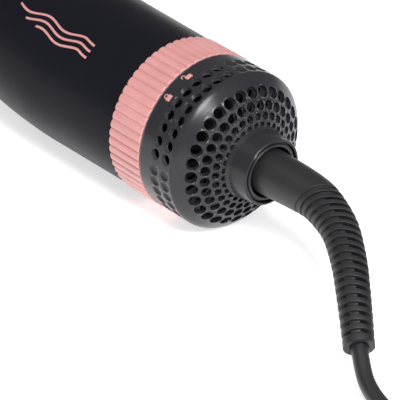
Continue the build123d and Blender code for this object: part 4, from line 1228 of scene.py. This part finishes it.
# ---- Boot and cord -------------------------------------------------------------------------
@dataclass
class Boot:
    """The tapered rubber boot, with windows either side of a spine so that it bends."""

    drop: float = 19.5 * MM
    line: tuple[tuple[float, float, float], ...] = (
        (-7.5, 0.0, 0.0), (-1.5, 0.0, 0.0), (4.5, 0.1, 0.0), (12.0, 0.7, 0.02), (22.0, 0.9, 0.056),
        (31.0, -1.2, 0.108), (38.5, -3.9, 0.174), (45.7, -7.9, 0.267), (53.5, -13.0, 0.39),
        (60.2, -17.9, 0.538), (67.5, -23.3, 0.728), (76.4, -30.0, 1.0))
    radii: tuple[float, ...] = (8.4, 8.4, 8.35, 8.2, 8.0, 7.5, 7.0, 6.6, 6.3, 6.05, 5.85, 5.6, 5.3)
    grooves: int = 20
    first_groove: float = 0.35
    last_groove: float = 0.965
    groove_width: float = 1.6 * MM
    groove_slope: float = 0.14 * MM
    slant: float = 0.50
    groove_depth: float = 1.0 * MM
    floor: float = 3.3 * MM
    spine: float = 20.0
    upward: Corner = (0.50, -0.66, 0.56)
    sides: int = 64
    blind_grooves: int = 2

    def centre(self) -> list[Vector]:
        """The boot's middle line, from the swivel to its end."""
        points = [(AT.rim - 13.6 * MM, 0.0, AT.axis_height)]
        for behind, side, share in self.line:
            points.append((AT.rim + behind * MM, side * MM, AT.axis_height - share * self.drop))
        return [Vector(p) for p in flowing(points, 12)]

    def radius_at(self, share: float) -> float:
        """The boot's radius at a share of its control points' line."""
        place = share * (len(self.radii) - 1)
        index = min(int(place), len(self.radii) - 2)
        here, after = self.radii[index:index + 2]
        return (here + (after - here) * (place - index)) * MM

    def stations(self, length: float) -> list[tuple[float, float]]:
        """Where the rings of the mesh go along the boot.

        Args:
            length: The boot's length.

        Returns:
            Each ring's distance, and how far it lies below the boot's surface.
        """
        first, last = self.first_groove * length, self.last_groove * length
        step = (last - first) / (self.grooves - 1)
        half = self.groove_width / 2
        foot = half - self.groove_slope
        rings = [(first * i / 30, 0.0) for i in range(30)]
        for index in range(self.grooves):
            middle = first + step * index
            depth = self.groove_depth * min(1.0, (index + 1.5) / self.blind_grooves)
            rings += [(middle - half, 0.0), (middle - foot, depth),
                      (middle + foot, depth), (middle + half, 0.0)]
            if index < self.grooves - 1:
                rib = step - self.groove_width
                rings += [(middle + half + rib * t, 0.0) for t in (0.2, 0.5, 0.8)]
        end = last + half
        return rings + [(end + (length - end) * i / 4, 0.0) for i in range(1, 5)]

    def straight(self, distances: list[float]) -> tuple[BMesh, float]:
        """The boot before it is bent: a turned tube with its windows pushed in.

        Args:
            distances: Length of the middle line up to each of its points.

        Returns:
            The mesh along X from 0, and its length.
        """
        length = distances[-1]
        outline = []
        for distance, depth in self.stations(length):
            share = sum(spot(distances, distance)) / (len(distances) - 1)
            outline.append((distance, self.radius_at(share) - depth))
        return turned(outline, self.sides), length

    def windows(self, bm: BMesh, length: float) -> list[list[BMFace]]:
        """Find the faces of each window, in the floors of the grooves past the blind ones.

        Args:
            bm: The straight boot.
            length: Its length.

        Returns:
            The faces of each window, the two sides of the spine apart.
        """
        first, last = self.first_groove * length, self.last_groove * length
        step = (last - first) / (self.grooves - 1)
        found: dict[tuple[int, int], list[BMFace]] = {}
        for face in bm.faces:
            middle = face.calc_center_median()
            index = round((middle.x - first) / step)
            on_floor = abs(middle.x - first - step * index) < 0.1 * MM
            turn = math.degrees(math.atan2(-middle.y, middle.z))
            beside = self.spine < abs(turn) < 180 - self.spine
            if on_floor and beside and self.blind_grooves <= index < self.grooves:
                found.setdefault((index, 1 if turn > 0 else -1), []).append(face)
        return list(found.values())

    def build(self) -> Object:
        """Build the boot."""
        centre = self.centre()
        distances = lengths(centre)
        bm, length = self.straight(distances)
        for faces in self.windows(bm, length):
            pushed = bmesh.ops.extrude_face_region(bm, geom=faces)
            bmesh.ops.delete(bm, geom=[f for f in faces if f.is_valid], context="FACES_ONLY")
            for vert in (v for v in pushed["geom"] if isinstance(v, BMVert)):
                vert.co.yz = vert.co.yz.normalized() * self.floor
        bmesh.ops.recalc_face_normals(bm, faces=bm.faces)
        crisp = [e for e in bm.edges if e.is_manifold and e.calc_face_angle(0.0) > math.radians(35)]
        rim(bm, crisp, 0.16 * MM, 2)
        self.hollow(bm, length)
        self.bend(bm, centre, distances)
        return piece("boot", bm, RUBBER, Body.CORD, Matrix(), ["strain_relief"], 55)

    def hollow(self, bm: BMesh, length: float) -> None:
        """Close the boot's root, and give its end a rounded rim and a bore.

        Args:
            bm: The straight boot, open at both ends.
            length: Its length.
        """
        end = [e for e in bm.edges if e.is_boundary and e.verts[0].co.x > length / 2]
        lip = ((0.93, 0.30), (0.84, 0.38), (0.66, 0.36), (0.59, 0.15), (0.57, -6.0), (0.02, -6.1))
        for size, shift in lip:
            verts, end = drawn(bm, end)
            for vert in verts:
                vert.co.yz = vert.co.yz.normalized() * size * self.radii[-1] * MM
                vert.co.x = length + (shift - 0.38) * MM
        root = [e for e in bm.edges if e.is_boundary and e.verts[0].co.x < length / 2]
        for size in (0.6, 0.02):
            verts, root = drawn(bm, root)
            for vert in verts:
                vert.co.yz = vert.co.yz.normalized() * size * self.radii[0] * MM
        bmesh.ops.holes_fill(bm, edges=[e for e in bm.edges if e.is_boundary])
        bmesh.ops.recalc_face_normals(bm, faces=bm.faces)

    def bend(self, bm: BMesh, centre: list[Vector], distances: list[float]) -> None:
        """Lay the straight boot along its middle line.

        Args:
            bm: The straight boot, along X.
            centre: The middle line.
            distances: Its length up to each point.
        """
        spine = Vector(self.upward)
        frames = []
        for index, point in enumerate(centre):
            ahead = centre[min(index + 1, len(centre) - 1)] - centre[max(index - 1, 0)]
            along = ahead.normalized()
            up = (spine - along * spine.dot(along)).normalized()
            frames.append((point, along, up, up.cross(along)))
        length = distances[-1]
        first = self.first_groove * length
        for vert in bm.verts:
            before = min(max(vert.co.x, 0.0), length)
            fade = before / first if before < first else (length - before) / (length - first)
            vert.co.x += self.slant * vert.co.y * fade
            distance = min(max(vert.co.x, 0.0), length)
            index, t = spot(distances, distance)
            point, along, up, side = (a.lerp(b, t) for a, b in zip(*frames[index:index + 2]))
            point += along * (vert.co.x - distance)
            vert.co = point + up.normalized() * vert.co.z + side.normalized() * vert.co.y


@dataclass
class MainsCord:
    """The cord, from the boot to its coil and on to the plug."""

    radius: float = 2.85 * MM
    start: tuple[float, float, float] = (76.4, -30.0, 10.5)
    leaving: tuple[float, float, float] = (0.73, -0.52, -0.433)
    first_run: float = 9.0
    route: tuple[tuple[float, float, float], ...] = (
        (91.9, -38.5, 4.0), (102.7, -40.4, 2.85), (117.0, -39.2, 2.85), (134.5, -36.4, 2.85))
    turns: int = 3
    outer_turn: float = 40.7 * MM
    points_per_turn: int = 16
    tail: float = 36.0 * MM

    def coil_centre(self) -> Vector:
        """The middle of the coil on the floor."""
        low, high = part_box("cord_coil")
        return Vector((low.x + self.outer_turn + self.radius, (low.y + high.y) / 2, 0))

    def coil(self) -> list[Vector]:
        """The coil's turns: in along the floor, up at the inside, and out again on top."""
        centre = self.coil_centre()
        low, high = self.radius, 3 * self.radius
        inner = self.outer_turn - 2 * self.radius * self.turns
        points = []
        for index in range(round((2 * self.turns + 1.5) * self.points_per_turn) + 1):
            turn = index / self.points_per_turn
            risen = min(max(turn - self.turns, 0.0), 1.0)
            if turn < self.turns:
                reach = self.outer_turn - 2 * self.radius * turn
            else:
                dip = self.radius * math.sin(math.pi * risen)
                reach = inner - dip + 2 * self.radius * max(turn - self.turns - 1, 0.0)
            angle = -TAU / 4 + TAU * turn
            height = low + (high - low) * risen
            points.append(centre + Vector((reach * math.cos(angle), reach * math.sin(angle), height)))
        return points

    def end_of_line(self) -> list[Vector]:
        """The tail from the top of the coil up into the plug."""
        centre = self.coil_centre()
        low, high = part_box("plug_body")
        axis = (low + high) / 2
        top = 3 * self.radius
        steps = ((0.30 * self.tail, 1.4 * self.radius, 0.24),
                 (0.62 * self.tail, 0.3 * self.radius, 1),
                 (0.85 * self.tail, 0, 1), (self.tail + 2 * MM, 0, 1))
        return [Vector((centre.x - back, axis.y + side, top + lift * (axis.z - top)))
                for back, side, lift in steps]

    def strap(self) -> Object:
        """The strap that holds the coil's turns, closed with a rounded latch."""
        centre = self.coil_centre()
        width, wall = 7 * MM, 0.9 * MM
        inner = centre.x + self.outer_turn - 8.2 * self.radius
        outer = centre.x + self.outer_turn + 2.2 * self.radius
        top = 4 * self.radius + wall
        edge = 2.4 * MM
        corners = [(x, z, edge) for x, z in ((inner, 0.0), (outer, 0.0), (outer, top), (inner, top))]
        around = rounded(corners, closed=True, steps=6)
        bm = bmesh.new()
        verts = [bm.verts.new((x, centre.y - width / 2, z)) for x, z in around]
        edges = [bm.edges.new(pair) for pair in zip(verts, [*verts[1:], verts[0]])]
        bmesh.ops.translate(bm, verts=drawn(bm, edges)[0], vec=(0, width, 0))
        bmesh.ops.recalc_face_normals(bm, faces=bm.faces)
        bmesh.ops.solidify(bm, geom=bm.faces[:], thickness=wall)
        latch = stadium(9 * MM, 8.6 * MM, top - 1.2 * MM, top + 1.6 * MM, 0.7 * MM, 24)
        joined(bm, moved(latch, Matrix.Translation(((inner + outer) / 2, centre.y, 0))))
        return piece("coil_strap", bm, TIE, Body.CORD, Matrix(), ["coil_tie"])

    def points(self) -> list[Vector]:
        """Every control point, from inside the boot's end to the plug."""
        start = Vector((AT.rim + self.start[0] * MM, self.start[1] * MM, self.start[2] * MM))
        along = Vector(self.leaving).normalized()
        lead = [start - along * 5 * MM, start + along * self.first_run * MM]
        lead += [Vector((AT.rim + x * MM, y * MM, z * MM)) for x, y, z in self.route]
        return lead + self.coil() + self.end_of_line()

    def build(self, boot: Object) -> Object:
        """Lay the cord as one curve.

        Args:
            boot: The boot that it leaves by; not used.

        Returns:
            The cord.
        """
        plug = [boot, self.strap(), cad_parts["plug_body"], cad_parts["plug_pins"]]
        points = self.points()
        curve = bpy.data.curves.new("mains_cord", "CURVE")
        curve.dimensions = "3D"
        spline = curve.splines.new("NURBS")
        spline.points.add(len(points) - 1)
        for target, point in zip(spline.points, points):
            target.co = (*point, 1.0)
        spline.order_u = 3
        spline.use_endpoint_u = True
        spline.resolution_u = 6
        curve.bevel_depth = self.radius
        curve.bevel_resolution = 6
        curve.use_fill_caps = True
        curve.materials.append(CORD.material())
        made = bpy.data.objects.new("mains_cord", curve)
        bpy.context.scene.collection.objects.link(made)
        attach(made, Body.CORD.value)
        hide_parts("cord", "cord_coil", "cord_tail")
        log.info("mains_cord: %d control points", len(points))
        return made


# ---- The studio ----------------------------------------------------------------------------
@dataclass
class Studio:
    """The floor, the lights and the camera."""

    azimuth: float = math.radians(49.39)
    elevation: float = math.radians(31.73)
    distance: float = 1053.7 * MM
    lens: float = 270.0
    aim_shift: Corner = (-27.53 * MM, -9.0 * MM, -20.34 * MM)

    def aim(self) -> Vector:
        """The point that the camera looks at, near the cap."""
        return Vector((AT.rim, 0, AT.axis_height)) + Vector(self.aim_shift)

    def camera(self) -> None:
        """Place the camera."""
        data = bpy.data.cameras.new("camera")
        data.lens = self.lens
        data.sensor_width = 36.0
        data.clip_start = 0.01
        data.clip_end = 100.0
        made = bpy.data.objects.new("camera", data)
        back = Vector((
            math.sin(self.azimuth) * math.cos(self.elevation),
            -math.cos(self.azimuth) * math.cos(self.elevation),
            math.sin(self.elevation),
        ))
        self.facing(made, self.aim(), back, self.distance)
        bpy.context.scene.camera = made

    @staticmethod
    def facing(made: Object, target: Vector, way: Vector, reach: float) -> None:
        """Put a camera or lamp in the scene so that it faces a point.

        Args:
            made: The camera or lamp.
            target: The point.
            way: The direction from the point to it, of length 1.
            reach: How far away it is.
        """
        bpy.context.scene.collection.objects.link(made)
        made.location = target + way * reach
        made.rotation_mode = "QUATERNION"
        made.rotation_quaternion = (-way).to_track_quat("-Z", "Y")

    def lamp(self, name: str, direction: Corner, reach: float, size: float, power: float,
             colour: Colour) -> None:
        """Hang one soft lamp that faces the brush.

        Args:
            name: The lamp's name.
            direction: From the brush to the lamp.
            reach: How far away it hangs.
            size: The side of its square.
            power: Its power in watts.
            colour: Its colour.
        """
        data = bpy.data.lights.new(name, "AREA")
        data.shape = "SQUARE"
        data.size = size
        data.energy = power
        data.color = colour
        target = Vector((AT.ring_rear, 0, AT.axis_height))
        self.facing(bpy.data.objects.new(name, data), target, Vector(direction).normalized(), reach)

    def floor(self) -> None:
        """Lay the pale floor."""
        bm = bmesh.new()
        bmesh.ops.create_grid(bm, x_segments=1, y_segments=1, size=6.0)
        made = loose(bm, "floor")
        material = bpy.data.materials.new("floor_paper")
        material.use_nodes = True
        shader = material.node_tree.nodes["Principled BSDF"]
        shader.inputs["Base Color"].default_value = (0.92, 0.92, 0.92, 1)
        shader.inputs["Roughness"].default_value = 0.9
        shader.inputs["Emission Color"].default_value = (1.0, 1.0, 1.0, 1)
        shader.inputs["Emission Strength"].default_value = 0.62
        made.data.materials.append(material)

    def build(self) -> None:
        """Set up the whole studio."""
        self.floor()
        self.camera()
        self.lamp("key", (0.61, -0.24, 0.76), 1.3, 0.46, 19.0, (1.0, 0.99, 0.98))
        self.lamp("overhead", (-0.15, -0.35, 1.0), 1.8, 1.2, 4.5, (1.0, 0.90, 0.80))
        self.lamp("left", (-0.1, -0.95, 0.3), 1.5, 0.7, 0.8, (0.96, 0.98, 1.0))
        self.lamp("end", (1.0, 0.15, 0.4), 1.6, 1.0, 9.0, (0.97, 0.98, 1.0))
        world = bpy.data.worlds.new("studio")
        world.use_nodes = True
        background = world.node_tree.nodes["Background"]
        background.inputs["Color"].default_value = (1.0, 1.0, 1.0, 1)
        background.inputs["Strength"].default_value = 0.30
        bpy.context.scene.world = world
        bpy.context.scene.view_settings.view_transform = "Standard"


# ---- Inner pieces --------------------------------------------------------------------------
INNER = {
    "shell_screws": SCREW, "rear_frame": FRAME, "dust_screen": SCREEN, "swivel_retainer": FRAME,
    "swivel_rotor": FRAME, "slip_rings": BRASS, "contact_carrier": FRAME, "contact_pins": BRASS,
    "air_guide": GUIDE, "rubber_damper": RUBBER, "motor_can": MOTOR, "motor_magnets": MAGNET,
    "motor_end_cap": GUIDE, "motor_shaft": MOTOR, "armature": ARMATURE, "fan": FAN_WHITE,
    "heater_sleeve": MICA, "mica_cross": MICA, "heater_coil": WIRE, "thermostat": MOTOR,
    "thermal_fuse": MOTOR, "switch_body": GUIDE, "cool_shot_switch": GUIDE, "circuit_board": BOARD,
    "barrel_frame": GUIDE, "tip_screw": SCREW, "control_panel": PANEL, "switch_slider": BUTTON,
    "cool_shot_button": BUTTON, "release_button": BUTTON, "head_base": FRAME, "barrel": BARREL,
    "bristle_strips": BRISTLE, "cool_tip": SHELL, "plug_body": RUBBER, "plug_pins": NICKEL,
}


def dress_inner() -> None:
    """Give each CAD node that stays its finish."""
    for name, finish in INNER.items():
        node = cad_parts[name]
        if node.hide_render:
            continue
        for slot in node.material_slots:
            slot.material = finish.material()
        log.info("%s: dressed", name)


def main() -> None:
    """Build the brush, its cord and the studio."""
    logging.basicConfig(level=logging.INFO, format="%(name)s: %(message)s")
    Studio().build()
    MainsCord().build(Boot().build())
    cap, handle = IntakeCap(), Handle()
    cap.build()
    LockRing().build()
    Swivel().build()
    handle.build()
    Marks(handle, cap).build()
    dress_inner()


if __name__ == "__main__":
    main()
